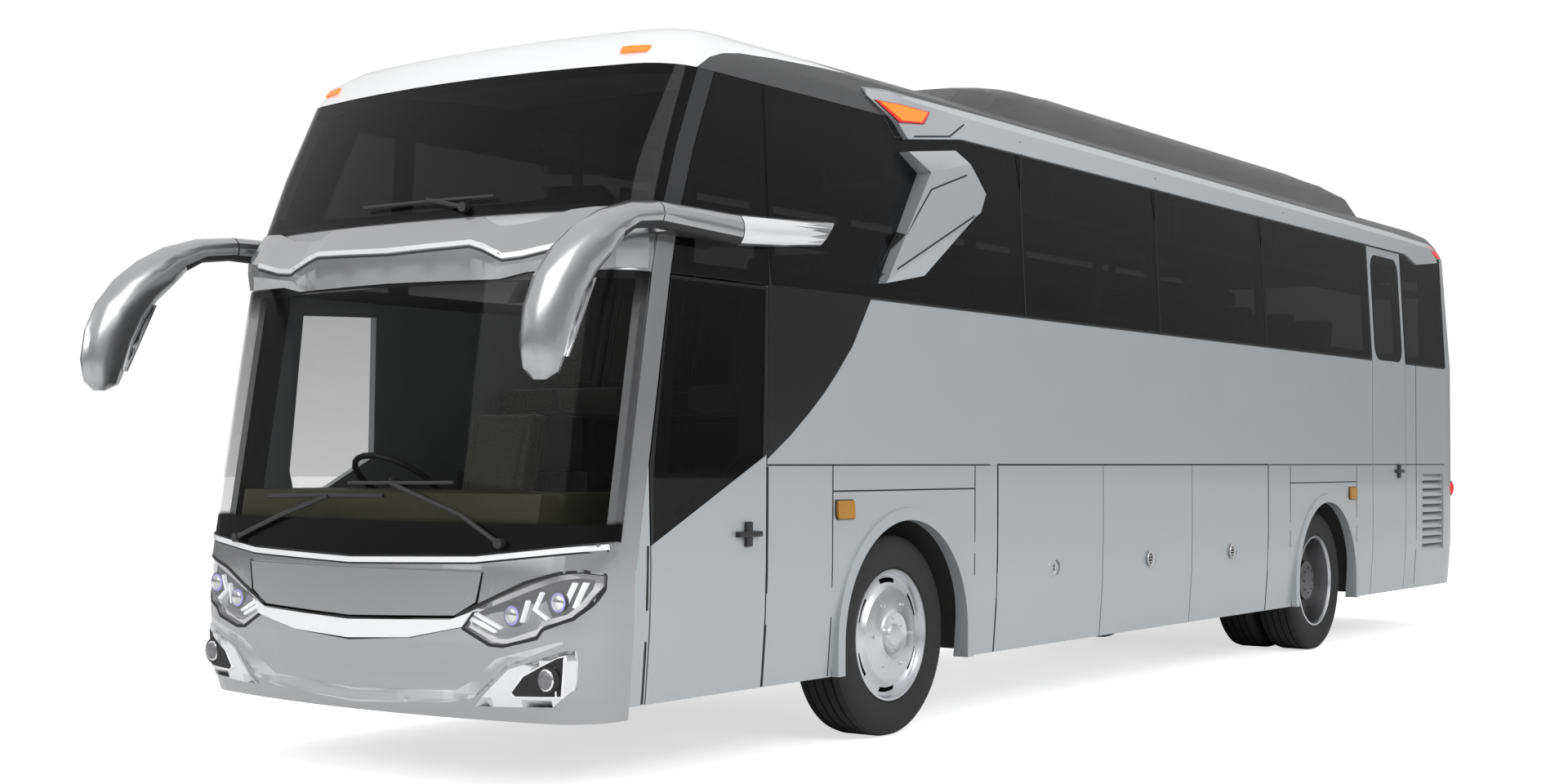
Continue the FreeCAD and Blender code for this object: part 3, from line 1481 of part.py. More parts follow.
def cabin_floor():
    inner = half_width - wall - seat_gap * floor_gap_share
    x0 = x_rear + wall + tail_rake + tail_corner_radius / 2
    x1 = station(cockpit_length)
    low = saloon_floor_z - floor_thickness
    slab = block(x0, x1, -inner, inner, low, saloon_floor_z).common(hull(wall + seat_gap, low, saloon_floor_z))
    stair_x0 = x1 - stair_run
    slab = slab.cut(block(stair_x0, x1, -aisle_half_width, aisle_half_width, 0, roof_z))
    well_x0 = station(rear_door_rear)
    well_x1 = station(rear_door_front)
    well_y0 = aisle_half_width
    well_y1 = door_post_place(rear_door_front).y - arm_post_radius - shut_gap
    slab = slab.cut(block(well_x0, well_x1, well_y0, body_width, 0, roof_z))
    plate_x1 = well_x1 + shut_gap + wall + seat_gap
    plate_y0 = door_post_place(rear_door_front).y - arm_bar / 2 - seat_gap
    slab = slab.cut(block(well_x1 - overrun, plate_x1, plate_y0, body_width, 0, roof_z))
    front_low = level_at(cockpit_floor_z, wall_levels)[0] - wall - seat_gap * floor_gap_share
    cockpit = hull(mask_wall + seat_gap, cockpit_floor_z - floor_thickness, cockpit_floor_z)
    cockpit = cockpit.common(block(x1 - floor_thickness, x_front, -front_low, front_low, 0, roof_z))
    riser = block(x1 - floor_thickness, x1, -inner, inner, cockpit_floor_z - floor_thickness, saloon_floor_z)
    riser = riser.common(hull(wall + seat_gap, cockpit_floor_z - floor_thickness, saloon_floor_z))
    riser = riser.cut(block(x1 - floor_thickness * 2, x1 + overrun, -aisle_half_width, aisle_half_width,
                            cockpit_floor_z, roof_z))
    parts = [cockpit, riser] + stair_flight(stair_x0, x1, -aisle_half_width, aisle_half_width, True)
    parts += stair_flight(well_x0, well_x1, well_y0, well_y1, False)
    parts.append(block(well_x0, well_x1, well_y1 - step_sheet, inner - wall / 2, cockpit_floor_z - step_sheet,
                       cockpit_floor_z))
    rail_room = rail_clearance(well_x0 - overrun, well_x1 + overrun)
    for x in (well_x0, well_x1 - step_sheet):
        cheek = block(x, x + step_sheet, well_y0, well_y1, cockpit_floor_z - step_sheet, saloon_floor_z)
        parts.append(cheek.cut(rail_room))
    for axle_x in (front_axle_x, rear_axle_x):
        house = wheel_house(axle_x)
        parts += [house, mirrored(house)]
    return slab.multiFuse(parts).removeSplitter()


def hold_walls():
    """Floor of the luggage hold with the bulkheads at its ends and between its bays."""
    inner = half_width - luggage_door_wall - wall
    x1 = station(luggage_start)
    x0 = station(luggage_start + luggage_pitch * luggage_doors)
    floor = block(x0, x1, -inner, inner, hold_floor_z - sheet, hold_floor_z)
    walls = []
    for x in (x0, x1 - sheet):
        walls.append(block(x, x + sheet, -inner, inner, hold_floor_z, saloon_floor_z - floor_thickness))
    body = floor.multiFuse(walls)
    for side in (1, -1):
        y = side * rail_y
        body = body.cut(block(x0 - overrun, x1 + overrun, y - rail_width / 2 - seat_gap, y + rail_width / 2 + seat_gap,
                              rail_z - seat_gap, rail_z + rail_height + seat_gap))
    return body.removeSplitter()


# Cabin fittings
def seat_solid(x, y0, y1):
    """Cushion and leaning back of one seat; x is the cushion's front edge."""
    z = saloon_floor_z + seat_base_height
    top = z + cushion_height
    back_x = x - seat_depth
    points = [
        (x, z), (x, top), (back_x + back_thickness, top), (back_x + back_thickness - back_lean, top + back_height),
        (back_x - back_lean, top + back_height), (back_x, z),
    ]
    return side_prism(points, y0, y1)


def seat_row_x(index):
    return station(cockpit_length) - floor_thickness - seat_pitch * index - back_lean


def seat_places():
    """Cushion front and inner edge of every seat; the rear stairwell takes one pair away."""
    places = []
    inner = half_width - wall - rail_width
    for i in range(seat_rows):
        x = seat_row_x(i)
        for side in (1, -1):
            over_well = side > 0 and x - seat_depth - back_lean < station(rear_door_front) + overrun \
                and x > station(rear_door_rear) - overrun
            if not over_well:
                places.append((x, side, inner))
    return places


def passenger_seats():
    seats = []
    for x, side, inner in seat_places():
        for k in range(2):
            y1 = inner - (seat_width + seat_gap_wide) * k
            y0 = y1 - seat_width
            low, high = sorted((y0 * side, y1 * side))
            seats.append(seat_solid(x, low, high))
    return Part.makeCompound(seats)


def seat_frames():
    frames = []
    for x, side, inner in seat_places():
        low, high = sorted(((inner - seat_width * 2 - seat_gap_wide) * side, inner * side))
        z = saloon_floor_z
        top = z + seat_base_height - seat_gap
        rail = block(x - seat_depth * rail_rear_share, x - seat_depth * rail_front_share, low, high,
                     top - leg_width / 2, top)
        y = (low + high) / 2
        leg = block(x - seat_depth * leg_rear_share, x - seat_depth * leg_front_share, y - leg_width / 2,
                    y + leg_width / 2, z, top)
        frames.append(rail.fuse(leg).removeSplitter())
    return Part.makeCompound(frames)


def driver_seat():
    lift = cockpit_floor_z - saloon_floor_z
    x = station(cockpit_length) + seat_depth + back_lean + wall * driver_gap_share
    seat = seat_solid(x, -driver_y - seat_width / 2, -driver_y + seat_width / 2)
    half = seat_width / driver_base_parts
    base = block(x - seat_depth * rail_rear_share, x - seat_depth * rail_front_share, -driver_y - half,
                 -driver_y + half, saloon_floor_z, saloon_floor_z + seat_base_height)
    return seat.fuse(base).translated(V(0, 0, lift)).removeSplitter()


def dashboard():
    low = cockpit_floor_z
    z1 = dash_top_z
    form = hull(mask_wall + wall, low, z1)
    front_edge = x_front - nose_rake * dash_rake_share
    left_end = half_width - door_rear * dash_side_share
    form = form.common(block(front_edge - dash_depth, x_front, -half_width, left_end, low, z1))
    knees = block(front_edge - dash_depth, front_edge - dash_depth / dash_knee_parts, -half_width, half_width,
                  low, z1 - (z1 - low) / 2)
    form = form.cut(knees)
    top = steering_centre()
    column = rod(top - steering_axis() * column_length, top - steering_axis() * (steering_hub_depth + running_gap),
                 column_radius)
    return form.fuse(column).removeSplitter()


def steering_axis():
    angle = math.radians(right_angle - steering_tilt)
    return V(-math.cos(angle), 0, math.sin(angle))


def steering_centre():
    x = x_front - nose_rake * dash_rake_share - dash_depth - column_radius
    return V(x, -driver_y, dash_top_z + column_radius)


def steering_wheel():
    """Ring on three spokes that rise to it from a sunk hub."""
    centre = steering_centre()
    axis = steering_axis()
    across = V(0, 1, 0)
    down = across.cross(axis)
    if down.z > 0:
        down = -down
    outline = []
    for i in range(wheel_tube_sides):
        a = math.tau * i / wheel_tube_sides
        outline.append((wheel_rim_radius + wheel_rim_tube * math.cos(a), wheel_rim_tube * math.sin(a)))
    ring = wheel_form(outline, wheel_rim_sides)
    ring.Placement = FreeCAD.Placement(centre, FreeCAD.Rotation(V(0, 1, 0), axis))
    hub = rod(centre - axis * steering_hub_depth, centre, steering_hub_radius)
    low = centre - axis * (steering_hub_depth / 2)
    spokes = [rod(low, centre + way * wheel_rim_radius, wheel_rim_tube / 2) for way in (across, -across, down)]
    return ring.multiFuse([hub] + spokes).removeSplitter()


def luggage_racks():
    inner = half_width - wall * 2 - overrun
    x0 = x_rear + tail_depth
    x1 = station(cockpit_length + seat_pitch)
    y0 = inner - rack_depth
    points = [
        (inner, rack_z), (y0, rack_z), (y0, rack_z + rack_lip), (y0 + rack_height / 2, rack_z + rack_lip),
        (y0 + rack_height / 2, rack_z + rack_height / 2), (inner, rack_z + rack_height / 2),
    ]
    tray = front_prism(points, x0, x1)
    hangers = []
    for i in range(rack_hangers):
        x = x0 + (x1 - x0 - rack_height) * i / (rack_hangers - 1)
        hangers.append(block(x, x + rack_height / 2, inner - rack_height, inner, rack_z, roof_z - ceiling_drop - seat_gap))
    rack = tray.multiFuse(hangers).removeSplitter()
    under_roof = hull(wall + seat_gap, window_top_z, roof_z - ceiling_drop, roof_levels)
    return both_sides(rack.cut(block(x0, x1, 0, body_width, window_top_z, roof_z).cut(under_roof)))


def engine_block():
    x0 = x_rear + wall + tail_corner_radius / 2
    body = block(x0, x0 + engine_length, -engine_width / 2, engine_width / 2, engine_low_z, engine_low_z + engine_height)
    for side in (1, -1):
        y = side * rail_y
        body = body.cut(block(x0 - overrun, x0 + engine_length + overrun, y - rail_width / 2 - seat_gap,
                              y + rail_width / 2 + seat_gap, rail_z - seat_gap, rail_z + rail_height + seat_gap))
    return body


NODES = [
    ("windscreens", windscreens),
    ("front_surround", front_surround),
    ("front_mask", front_mask),
    ("front_flap", front_flap),
    ("front_lamps", lambda: Part.makeCompound([lamp_body(lamp_shares), lamp_body(fog_shares)])),
    ("marker_lamps", marker_lamps),
    ("wipers", wipers),
    ("left_side_wall", lambda: side_wall(True)),
    ("right_side_wall", lambda: mirrored(side_wall(False))),
    ("side_glass_left", lambda: side_glass(True)),
    ("side_glass_right", lambda: mirrored(side_glass(False))),
    ("left_skirt", lambda: skirt(True)),
    ("right_skirt", lambda: mirrored(skirt(False))),
    ("front_door", front_door),
    ("front_door_glass", front_door_glass),
    ("front_door_arm", lambda: door_arm(door_front)),
    ("rear_door", rear_door),
    ("rear_door_glass", rear_door_glass),
    ("rear_door_arm", lambda: door_arm(rear_door_front)),
    ("door_posts", lambda: Part.makeCompound(door_posts())),
    ("rear_mask", rear_mask),
    ("rear_window", rear_window),
    ("engine_lid", engine_lid),
    ("tail_lamps", tail_lamps),
    ("roof", roof),
    ("front_cap", front_cap),
    ("roof_coves", roof_coves),
    ("ac_unit", ac_unit),
    ("mirror_arms", lambda: both_sides(mirror_unit())),
    ("mirror_glass", lambda: both_sides(mirror_pane())),
    ("chassis_frame", chassis_frame),
    ("cabin_floor", cabin_floor),
    ("hold_walls", hold_walls),
    ("passenger_seats", passenger_seats),
    ("seat_frames", seat_frames),
    ("driver_seat", driver_seat),
    ("dashboard", dashboard),
    ("steering_wheel", steering_wheel),
    ("luggage_racks", luggage_racks),
    ("engine_block", engine_block),
    ("front_axle", front_axle),
    ("knuckle_left", knuckle),
    ("knuckle_right", lambda: mirrored(knuckle())),
    ("tie_rod", tie_rod),
    ("rear_axle", rear_axle),
    ("air_springs", air_springs),
    ("tyre_front_left", lambda: placed(wheel_tyre(wheel_face_y), front_axle_x)),
    ("tyre_front_right", lambda: placed(mirrored(wheel_tyre(wheel_face_y)), front_axle_x)),
    ("rim_front_left", lambda: placed(front_rim(), front_axle_x)),
    ("rim_front_right", lambda: placed(mirrored(front_rim()), front_axle_x)),
    ("tyres_rear_left", lambda: placed(twin_tyres(), rear_axle_x)),
    ("tyres_rear_right", lambda: placed(mirrored(twin_tyres()), rear_axle_x)),
    ("rims_rear_left", lambda: placed(twin_rims(), rear_axle_x)),
    ("rims_rear_right", lambda: placed(mirrored(twin_rims()), rear_axle_x)),
]
for index in range(luggage_doors):
    NODES.append((f"luggage_door_left_{index + 1}", lambda i=index: luggage_door(i)))
    NODES.append((f"luggage_door_right_{index + 1}", lambda i=index: mirrored(luggage_door(i))))

os.makedirs("parts", exist_ok=True)
for name, make in NODES:
    shape = make()
    print(name, len(shape.Solids), shape.isValid())
    shape.exportStep("parts/" + name + ".step")
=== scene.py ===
import json
import math

import bmesh
import bpy
from mathutils import Matrix, Vector
from mathutils.bvhtree import BVHTree


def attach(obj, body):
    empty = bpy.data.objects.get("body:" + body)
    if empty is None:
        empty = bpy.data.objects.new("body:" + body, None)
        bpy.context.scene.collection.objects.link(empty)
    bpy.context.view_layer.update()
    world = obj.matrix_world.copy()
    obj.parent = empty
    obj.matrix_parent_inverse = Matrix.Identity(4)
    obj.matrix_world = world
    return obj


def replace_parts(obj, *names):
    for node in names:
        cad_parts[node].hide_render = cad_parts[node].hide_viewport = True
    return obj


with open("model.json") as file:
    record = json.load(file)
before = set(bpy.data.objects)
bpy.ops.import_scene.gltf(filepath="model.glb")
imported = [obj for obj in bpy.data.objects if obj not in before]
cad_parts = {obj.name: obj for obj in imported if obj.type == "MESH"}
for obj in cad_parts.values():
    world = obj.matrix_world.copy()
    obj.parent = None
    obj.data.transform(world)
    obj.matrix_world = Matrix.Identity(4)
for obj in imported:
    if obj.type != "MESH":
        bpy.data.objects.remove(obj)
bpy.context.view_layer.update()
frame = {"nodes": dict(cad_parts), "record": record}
nodes = frame["nodes"]

# Sizes and places in metres: X forward, Y to the left side, Z up
MERGE = 2e-5
TINY = 1e-6
FLAT_ANGLE = math.radians(0.4)
SHARP_ANGLE = math.radians(28)
ROUND_SHARP_ANGLE = math.radians(42)
REACH = 9.0

# Trims: their foot lies just under a surface, and they are cut this finely to follow it
FOOT = -0.001
PITCH_FINE = 0.05
PITCH_NOSE = 0.06
PITCH_WIDE = 0.08
PITCH_SIDE = 0.1
PITCH_LONG = 0.3
SEAM_WIDTH = 0.008
SEAM_LAYER = (FOOT, 0.0012)

# Steps by which a ray that misses a surface is moved and cast again
NOSE_TRIES = 12
NOSE_SHRINK = 0.01
NOSE_RISE = 0.004
SIDE_STEPS = (0, 1, -1, 2, -2, 4, -4)
SIDE_STEP = 0.012
SIDE_INNER = 0.9

CAMERA_PLACE = Vector((12.0573, 6.7841, 1.4323))
CAMERA_YAW = 35.2946
CAMERA_PITCH = 1.8514
CAMERA_ROLL = 0.2546
CAMERA_LENS = 46.68
CAMERA_SENSOR = 36.0

TYRE_RADIUS = 0.52
TYRE_WIDTH = 0.29
WHEEL_STEPS = 72
AXLES = {"front": 3.13, "rear": -2.87}
WHEEL_FACE = 1.165
TWIN_PITCH = 0.33
SIDE_PLANE = 1.25
BODY = "body"


# Materials
def new_material(name, color, metallic=0.0, roughness=0.5, **sockets):
    """Named material with its shader's plain values set on the sockets."""
    material = bpy.data.materials.new(name)
    material.use_nodes = True
    shader = shader_of(material)
    shader.inputs["Base Color"].default_value = (*color, 1)
    shader.inputs["Metallic"].default_value = metallic
    shader.inputs["Roughness"].default_value = roughness
    for key, value in sockets.items():
        shader.inputs[key.replace("_", " ")].default_value = value
    return material


def node_of(material, kind, **values):
    node = material.node_tree.nodes.new(kind)
    for key, value in values.items():
        setattr(node, key, value)
    return node


def link(material, source, target):
    material.node_tree.links.new(source, target)


def shader_of(material):
    return material.node_tree.nodes["Principled BSDF"]


def object_place(material):
    return node_of(material, "ShaderNodeTexCoord").outputs["Object"]


def noise(material, scale, detail=3.0, roughness=0.5, stretch=(1, 1, 1)):
    mapping = node_of(material, "ShaderNodeMapping")
    mapping.inputs["Scale"].default_value = stretch
    texture = node_of(material, "ShaderNodeTexNoise")
    texture.inputs["Scale"].default_value = scale
    texture.inputs["Detail"].default_value = detail
    texture.inputs["Roughness"].default_value = roughness
    link(material, object_place(material), mapping.inputs["Vector"])
    link(material, mapping.outputs["Vector"], texture.inputs["Vector"])
    return texture.outputs["Fac"]


def set_stops(node, stops):
    """Sets a ramp's stops, which are (place, colour) pairs."""
    elements = node.color_ramp.elements
    while len(elements) < len(stops):
        elements.new(0.5)
    for element, (place, color) in zip(elements, stops):
        element.position = place
        element.color = (*color, 1)


def ramp(material, factor, stops):
    """Colour ramp over a factor."""
    node = node_of(material, "ShaderNodeValToRGB")
    set_stops(node, stops)
    link(material, factor, node.inputs["Fac"])
    return node.outputs["Color"]


def shade(color, share):
    return tuple(min(1.0, c * share) for c in color)


def speckle(material, color, scale, spread, detail=3.0, stretch=(1, 1, 1)):
    """Base colour that varies a little over the surface."""
    factor = noise(material, scale, detail, stretch=stretch)
    low, high = shade(color, 1 - spread), shade(color, 1 + spread)
    varied = ramp(material, factor, ((0.3, low), (0.7, high)))
    link(material, varied, shader_of(material).inputs["Base Color"])


def grain(material, scale, strength, distance=0.001, detail=4.0, stretch=(1, 1, 1)):
    bump = node_of(material, "ShaderNodeBump")
    bump.inputs["Strength"].default_value = strength
    bump.inputs["Distance"].default_value = distance
    link(material, noise(material, scale, detail, stretch=stretch), bump.inputs["Height"])
    link(material, bump.outputs["Normal"], shader_of(material).inputs["Normal"])


def wear(material, scale, low, high):
    """Roughness that varies between two values."""
    node = node_of(material, "ShaderNodeMapRange")
    node.inputs["To Min"].default_value = low
    node.inputs["To Max"].default_value = high
    link(material, noise(material, scale), node.inputs["Value"])
    link(material, node.outputs["Result"], shader_of(material).inputs["Roughness"])


def paint(name, color, metallic, roughness, coat=0.8):
    """Metallic coach paint: fine flakes under a clear coat."""
    material = new_material(name, color, metallic, roughness, Coat_Weight=coat, Coat_Roughness=0.06)
    speckle(material, color, 1400.0, 0.05, 2.0)
    wear(material, 3.0, roughness * 0.9, roughness * 1.12)
    return material


def plastic(name, color, roughness, scale=260.0, strength=0.12):
    material = new_material(name, color, 0.0, roughness)
    speckle(material, color, 40.0, 0.06)
    grain(material, scale, strength)
    return material


def metal(name, color, roughness, spread=0.05):
    material = new_material(name, color, 1.0, roughness)
    speckle(material, color, 60.0, spread)
    wear(material, 25.0, roughness * 0.8, roughness * 1.25)
    return material


def glass_pane(name, color, alpha, roughness=0.02):
    """Tinted pane with one alpha all over that shows what is behind it."""
    material = new_material(name, color, 0.0, roughness, Alpha=alpha, IOR=1.45, Specular_IOR_Level=0.3)
    speckle(material, color, 2.0, 0.1)
    return material


def lamp_glow(name, color, strength, base=(0.8, 0.8, 0.8)):
    material = new_material(name, base, 0.0, 0.25)
    shader_of(material).inputs["Emission Color"].default_value = (*color, 1)
    shader_of(material).inputs["Emission Strength"].default_value = strength
    speckle(material, base, 90.0, 0.05)
    return material


# How opaque the windscreens are at each height
SCREEN_ALPHA = ((0.0, 1.0), (1.150, 1.0), (1.156, 0.16), (2.10, 0.30), (2.23, 0.66), (3.10, 0.72),
                (3.6, 0.85))


def windscreen_glass():
    """Clear lower screen with a black printed foot, darker upper screen."""
    material = new_material("windscreen_glass", (0.006, 0.006, 0.006), 0.0, 0.02, IOR=1.45,
                            Specular_IOR_Level=0.18)
    split = node_of(material, "ShaderNodeSeparateXYZ")
    link(material, object_place(material), split.inputs["Vector"])
    curve = node_of(material, "ShaderNodeFloatCurve")
    points = curve.mapping.curves[0].points
    top = 4.0
    while len(points) < len(SCREEN_ALPHA):
        points.new(0.5, 0.5)
    for point, (z, alpha) in zip(points, SCREEN_ALPHA):
        point.location = (z / top, alpha)
        point.handle_type = "VECTOR"
    curve.mapping.update()
    share = node_of(material, "ShaderNodeMath", operation="DIVIDE")
    share.inputs[1].default_value = top
    link(material, split.outputs["Z"], share.inputs[0])
    link(material, share.outputs["Value"], curve.inputs["Value"])
    link(material, curve.outputs["Value"], shader_of(material).inputs["Alpha"])
    return material


def seat_cloth(name, color):
    material = new_material(name, color, 0.0, 0.85, Sheen_Weight=0.3)
    speckle(material, color, 300.0, 0.2, 2.0)
    grain(material, 900.0, 0.25, 0.0006)
    return material


M = {
    "silver": paint("silver_paint", (0.470, 0.495, 0.512), 0.45, 0.38, 0.5),
    "nose_silver": paint("nose_silver_paint", (0.420, 0.425, 0.435), 0.85, 0.26),
    # Bright silver for the fog lamp surrounds and the mirror arms' bright stretch, also a painted highlight
    # along the band's crease
    "bright_silver_and_highlight": paint("bright_silver_and_highlight_paint", (0.800, 0.810, 0.830), 0.30, 0.30),
    # Lighter copy of the nose silver: a painted highlight on the front mask's lip facet
    "lip_highlight_silver": paint("lip_highlight_silver_paint", (0.640, 0.650, 0.665), 0.60, 0.26),
    # White for the front cap, the strip between the lamps and the tail plate, also a painted highlight on the
    # ledge under the windscreen
    "white_and_highlight": paint("white_and_highlight_paint", (0.880, 0.890, 0.900), 0.0, 0.30),
    # Dark grey for the screen frame above the band, also painted shade in the band's crease
    "dark_grey_and_shade": paint("dark_grey_and_shade_paint", (0.020, 0.021, 0.023), 0.0, 0.52, 0.0),
    "roof_grey": paint("roof_grey_paint", (0.040, 0.041, 0.044), 0.2, 0.46, 0.2),
    # Black rubber for seams, seals, frames and springs, also used as painted shade: the shadow line under the
    # nose ledge, the mirror arms' under side and the line along the leaf's crease
    "rubber_and_shade": plastic("black_rubber_and_shade", (0.012, 0.012, 0.013), 0.62),
    "black_film": plastic("black_film", (0.008, 0.008, 0.009), 0.22, 30.0, 0.01),
    "tyre": plastic("tyre_rubber", (0.016, 0.016, 0.017), 0.72, 120.0, 0.2),
    # Black moulding for trim parts, also painted shade on the walls of the front rims' vents
    "moulding_and_shade": plastic("black_moulding_and_shade", (0.020, 0.020, 0.022), 0.45),
    "chrome": metal("chrome", (0.90, 0.90, 0.91), 0.08, 0.01),
    "rim": metal("painted_rim", (0.72, 0.73, 0.75), 0.30, 0.03),
    "steel": metal("chassis_steel", (0.10, 0.10, 0.105), 0.55),
    "cast": metal("cast_iron", (0.07, 0.07, 0.072), 0.62),
    "aluminium": metal("aluminium", (0.60, 0.60, 0.61), 0.35),
    "glass": glass_pane("side_glass", (0.004, 0.004, 0.005), 0.66),
    "door_glass": glass_pane("door_glass", (0.006, 0.006, 0.006), 0.52),
    "driver_glass": glass_pane("driver_glass", (0.01, 0.01, 0.01), 0.12),
    "windscreen": windscreen_glass(),
    "lens": glass_pane("lamp_lens", (0.5, 0.5, 0.52), 0.16),
    "lens_grey": plastic("fog_lens", (0.20, 0.20, 0.21), 0.12, 200.0, 0.3),
    "dark_rim": metal("shaded_rim", (0.16, 0.16, 0.165), 0.4),
    "lamp_shell": plastic("lamp_shell", (0.035, 0.035, 0.04), 0.35),
    "mirror": metal("mirror_silver", (0.9, 0.9, 0.9), 0.02, 0.0),
    "daylight": lamp_glow("daylight_guide", (0.92, 0.95, 1.0), 0.55),
    "ring_light": lamp_glow("projector_ring", (0.42, 0.36, 1.0), 0.6, (0.2, 0.2, 0.5)),
    "amber": lamp_glow("amber_lens", (1.0, 0.26, 0.02), 0.35, (0.85, 0.22, 0.02)),
    "amber_dark": plastic("amber_marker", (0.42, 0.20, 0.02), 0.25, 60.0, 0.05),
    "red": lamp_glow("red_lens", (1.0, 0.02, 0.02), 0.25, (0.65, 0.015, 0.02)),
    "olive": plastic("olive_trim", (0.075, 0.072, 0.045), 0.6, 500.0, 0.2),
    "beige": plastic("beige_trim", (0.16, 0.15, 0.12), 0.65, 400.0, 0.2),
    "floor": plastic("floor_cover", (0.05, 0.05, 0.048), 0.7, 300.0, 0.3),
    "cloth": seat_cloth("seat_cloth", (0.075, 0.075, 0.068)),
    "driver_cloth": seat_cloth("driver_cloth", (0.10, 0.098, 0.075)),
}

# The finish of every CAD node
FINISH = {
    "windscreens": "windscreen", "front_surround": "nose_silver", "front_mask": "nose_silver",
    "front_flap": "nose_silver", "left_side_wall": "silver", "right_side_wall": "silver",
    "left_skirt": "silver", "right_skirt": "silver", "front_door": "silver", "rear_door": "silver",
    "rear_mask": "silver", "engine_lid": "silver", "roof": "roof_grey", "front_cap": "white_and_highlight",
    "roof_coves": "silver", "ac_unit": "roof_grey", "mirror_arms": "nose_silver", "mirror_glass": "mirror",
    "side_glass_left": "glass", "side_glass_right": "glass", "front_door_glass": "door_glass",
    "rear_door_glass": "glass", "rear_window": "glass", "tail_lamps": "red", "front_lamps": "lens",
    "chassis_frame": "steel", "cabin_floor": "floor", "hold_walls": "aluminium", "passenger_seats": "cloth",
    "seat_frames": "moulding_and_shade", "driver_seat": "driver_cloth", "dashboard": "olive",
    "steering_wheel": "moulding_and_shade", "luggage_racks": "beige", "engine_block": "cast", "front_axle": "cast",
    "knuckle_left": "cast", "knuckle_right": "cast", "tie_rod": "steel", "rear_axle": "cast",
    "air_springs": "rubber_and_shade", "front_door_arm": "moulding_and_shade", "rear_door_arm": "moulding_and_shade",
    "door_posts": "moulding_and_shade", "wipers": "moulding_and_shade", "marker_lamps": "amber", "tyre_front_left": "tyre",
    "tyre_front_right": "tyre", "tyres_rear_left": "tyre", "tyres_rear_right": "tyre",
    "rim_front_left": "rim", "rim_front_right": "rim", "rims_rear_left": "rim", "rims_rear_right": "rim",
}
LUGGAGE_DOORS = [f"luggage_door_{side}_{index}" for side in ("left", "right") for index in (1, 2, 3)]
FINISH.update({name: "silver" for name in LUGGAGE_DOORS})

# Nodes that are modelled anew, and nodes that a smooth copy stands for
REPLACED = ["front_lamps"] + [name for name in FINISH if name.startswith(("tyre", "rim"))]
SMOOTHED = [
    "windscreens", "front_surround", "front_mask", "front_flap", "left_side_wall", "right_side_wall",
    "left_skirt", "right_skirt", "front_door", "rear_door", "rear_mask", "engine_lid", "roof", "front_cap",
    "roof_coves", "ac_unit", "mirror_arms", "side_glass_left", "side_glass_right", "front_door_glass",
    "rear_door_glass", "rear_window", "tail_lamps", "steering_wheel", "dashboard", "air_springs", "rear_axle",
    "wipers", "marker_lamps", "front_axle", "mirror_glass", "passenger_seats", "driver_seat",
] + LUGGAGE_DOORS

# Copies that are padded, and copies that stay smooth over wider angles
PADS = ["passenger_seats", "driver_seat"]
ROUND = ["mirror_arms", "wipers", "steering_wheel"] + PADS


# Mesh helpers
def piece(name, form, materials, body=BODY, sharp=SHARP_ANGLE, weighted=False):
    """Finished object from a bmesh: smooth faces, sharp edges kept, riding on a body."""
    for face in form.faces:
        face.smooth = True
    for edge in form.edges:
        if len(edge.link_faces) == 2 and edge.calc_face_angle(0) > sharp:
            edge.smooth = False
    mesh = bpy.data.meshes.new(name)
    form.to_mesh(mesh)
    form.free()
    for key in materials:
        mesh.materials.append(M[key])
    item = bpy.data.objects.new(name, mesh)
    bpy.context.scene.collection.objects.link(item)
    if weighted:
        modifier = item.modifiers.new("normals", "WEIGHTED_NORMAL")
        modifier.keep_sharp = True
    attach(item, body)
    return item


def merged_form(node):
    """Copy of a CAD node's mesh with its points joined and its flat faces made whole."""
    form = bmesh.new()
    form.from_mesh(nodes[node].data)
    bmesh.ops.remove_doubles(form, verts=form.verts, dist=MERGE)
    bmesh.ops.dissolve_limit(form, angle_limit=FLAT_ANGLE, verts=form.verts, edges=form.edges)
    for face in form.faces:
        face.material_index = 0
    return form


def body_of_node(node):
    for body, names in frame["record"]["behaviour"]["bodies"].items():
        if node in names:
            return body
    return BODY


def surface_of(names):
    """Search tree over the outer faces of some nodes."""
    points = []
    faces = []
    for name in names:
        mesh = nodes[name].data
        start = len(points)
        points += [v.co.copy() for v in mesh.vertices]
        faces += [[start + i for i in p.vertices] for p in mesh.polygons]
    return BVHTree.FromPolygons(points, faces)


NOSE = surface_of(["windscreens", "front_surround", "front_mask", "front_flap", "front_lamps", "front_cap"])
LEFT = surface_of(["left_side_wall", "left_skirt", "side_glass_left", "front_door", "front_door_glass",
                   "rear_door", "rear_door_glass", "front_mask", "front_surround", "windscreens", "rear_mask",
                   "front_cap", "roof", "roof_coves"] + LUGGAGE_DOORS[:3])


def on_nose(y, z, lift):
    """Point in front of the nose's surface at (y, z)."""
    for step in range(NOSE_TRIES):
        share = 1 - NOSE_SHRINK * step
        hit = NOSE.ray_cast(Vector((REACH, y * share, z + NOSE_RISE * step)), Vector((-1, 0, 0)))[0]
        if hit:
            break
    return Vector((hit.x + lift, y, z))


def on_left(x, z, lift):
    """Point outside the left wall's surface at (x, z)."""
    for step in SIDE_STEPS:
        for near in (Vector((x + SIDE_STEP * step, REACH, z)), Vector((x, REACH, z + SIDE_STEP * step))):
            hit = LEFT.ray_cast(near, Vector((0, -1, 0)))[0]
            if hit and hit.y > SIDE_INNER:
                return Vector((x, hit.y + lift, z))
    return Vector((x, SIDE_PLANE + lift, z))


def on_right(x, z, lift):
    """Point outside the right wall, which mirrors the left one."""
    place = on_left(x, z, lift)
    return Vector((place.x, -place.y, place.z))


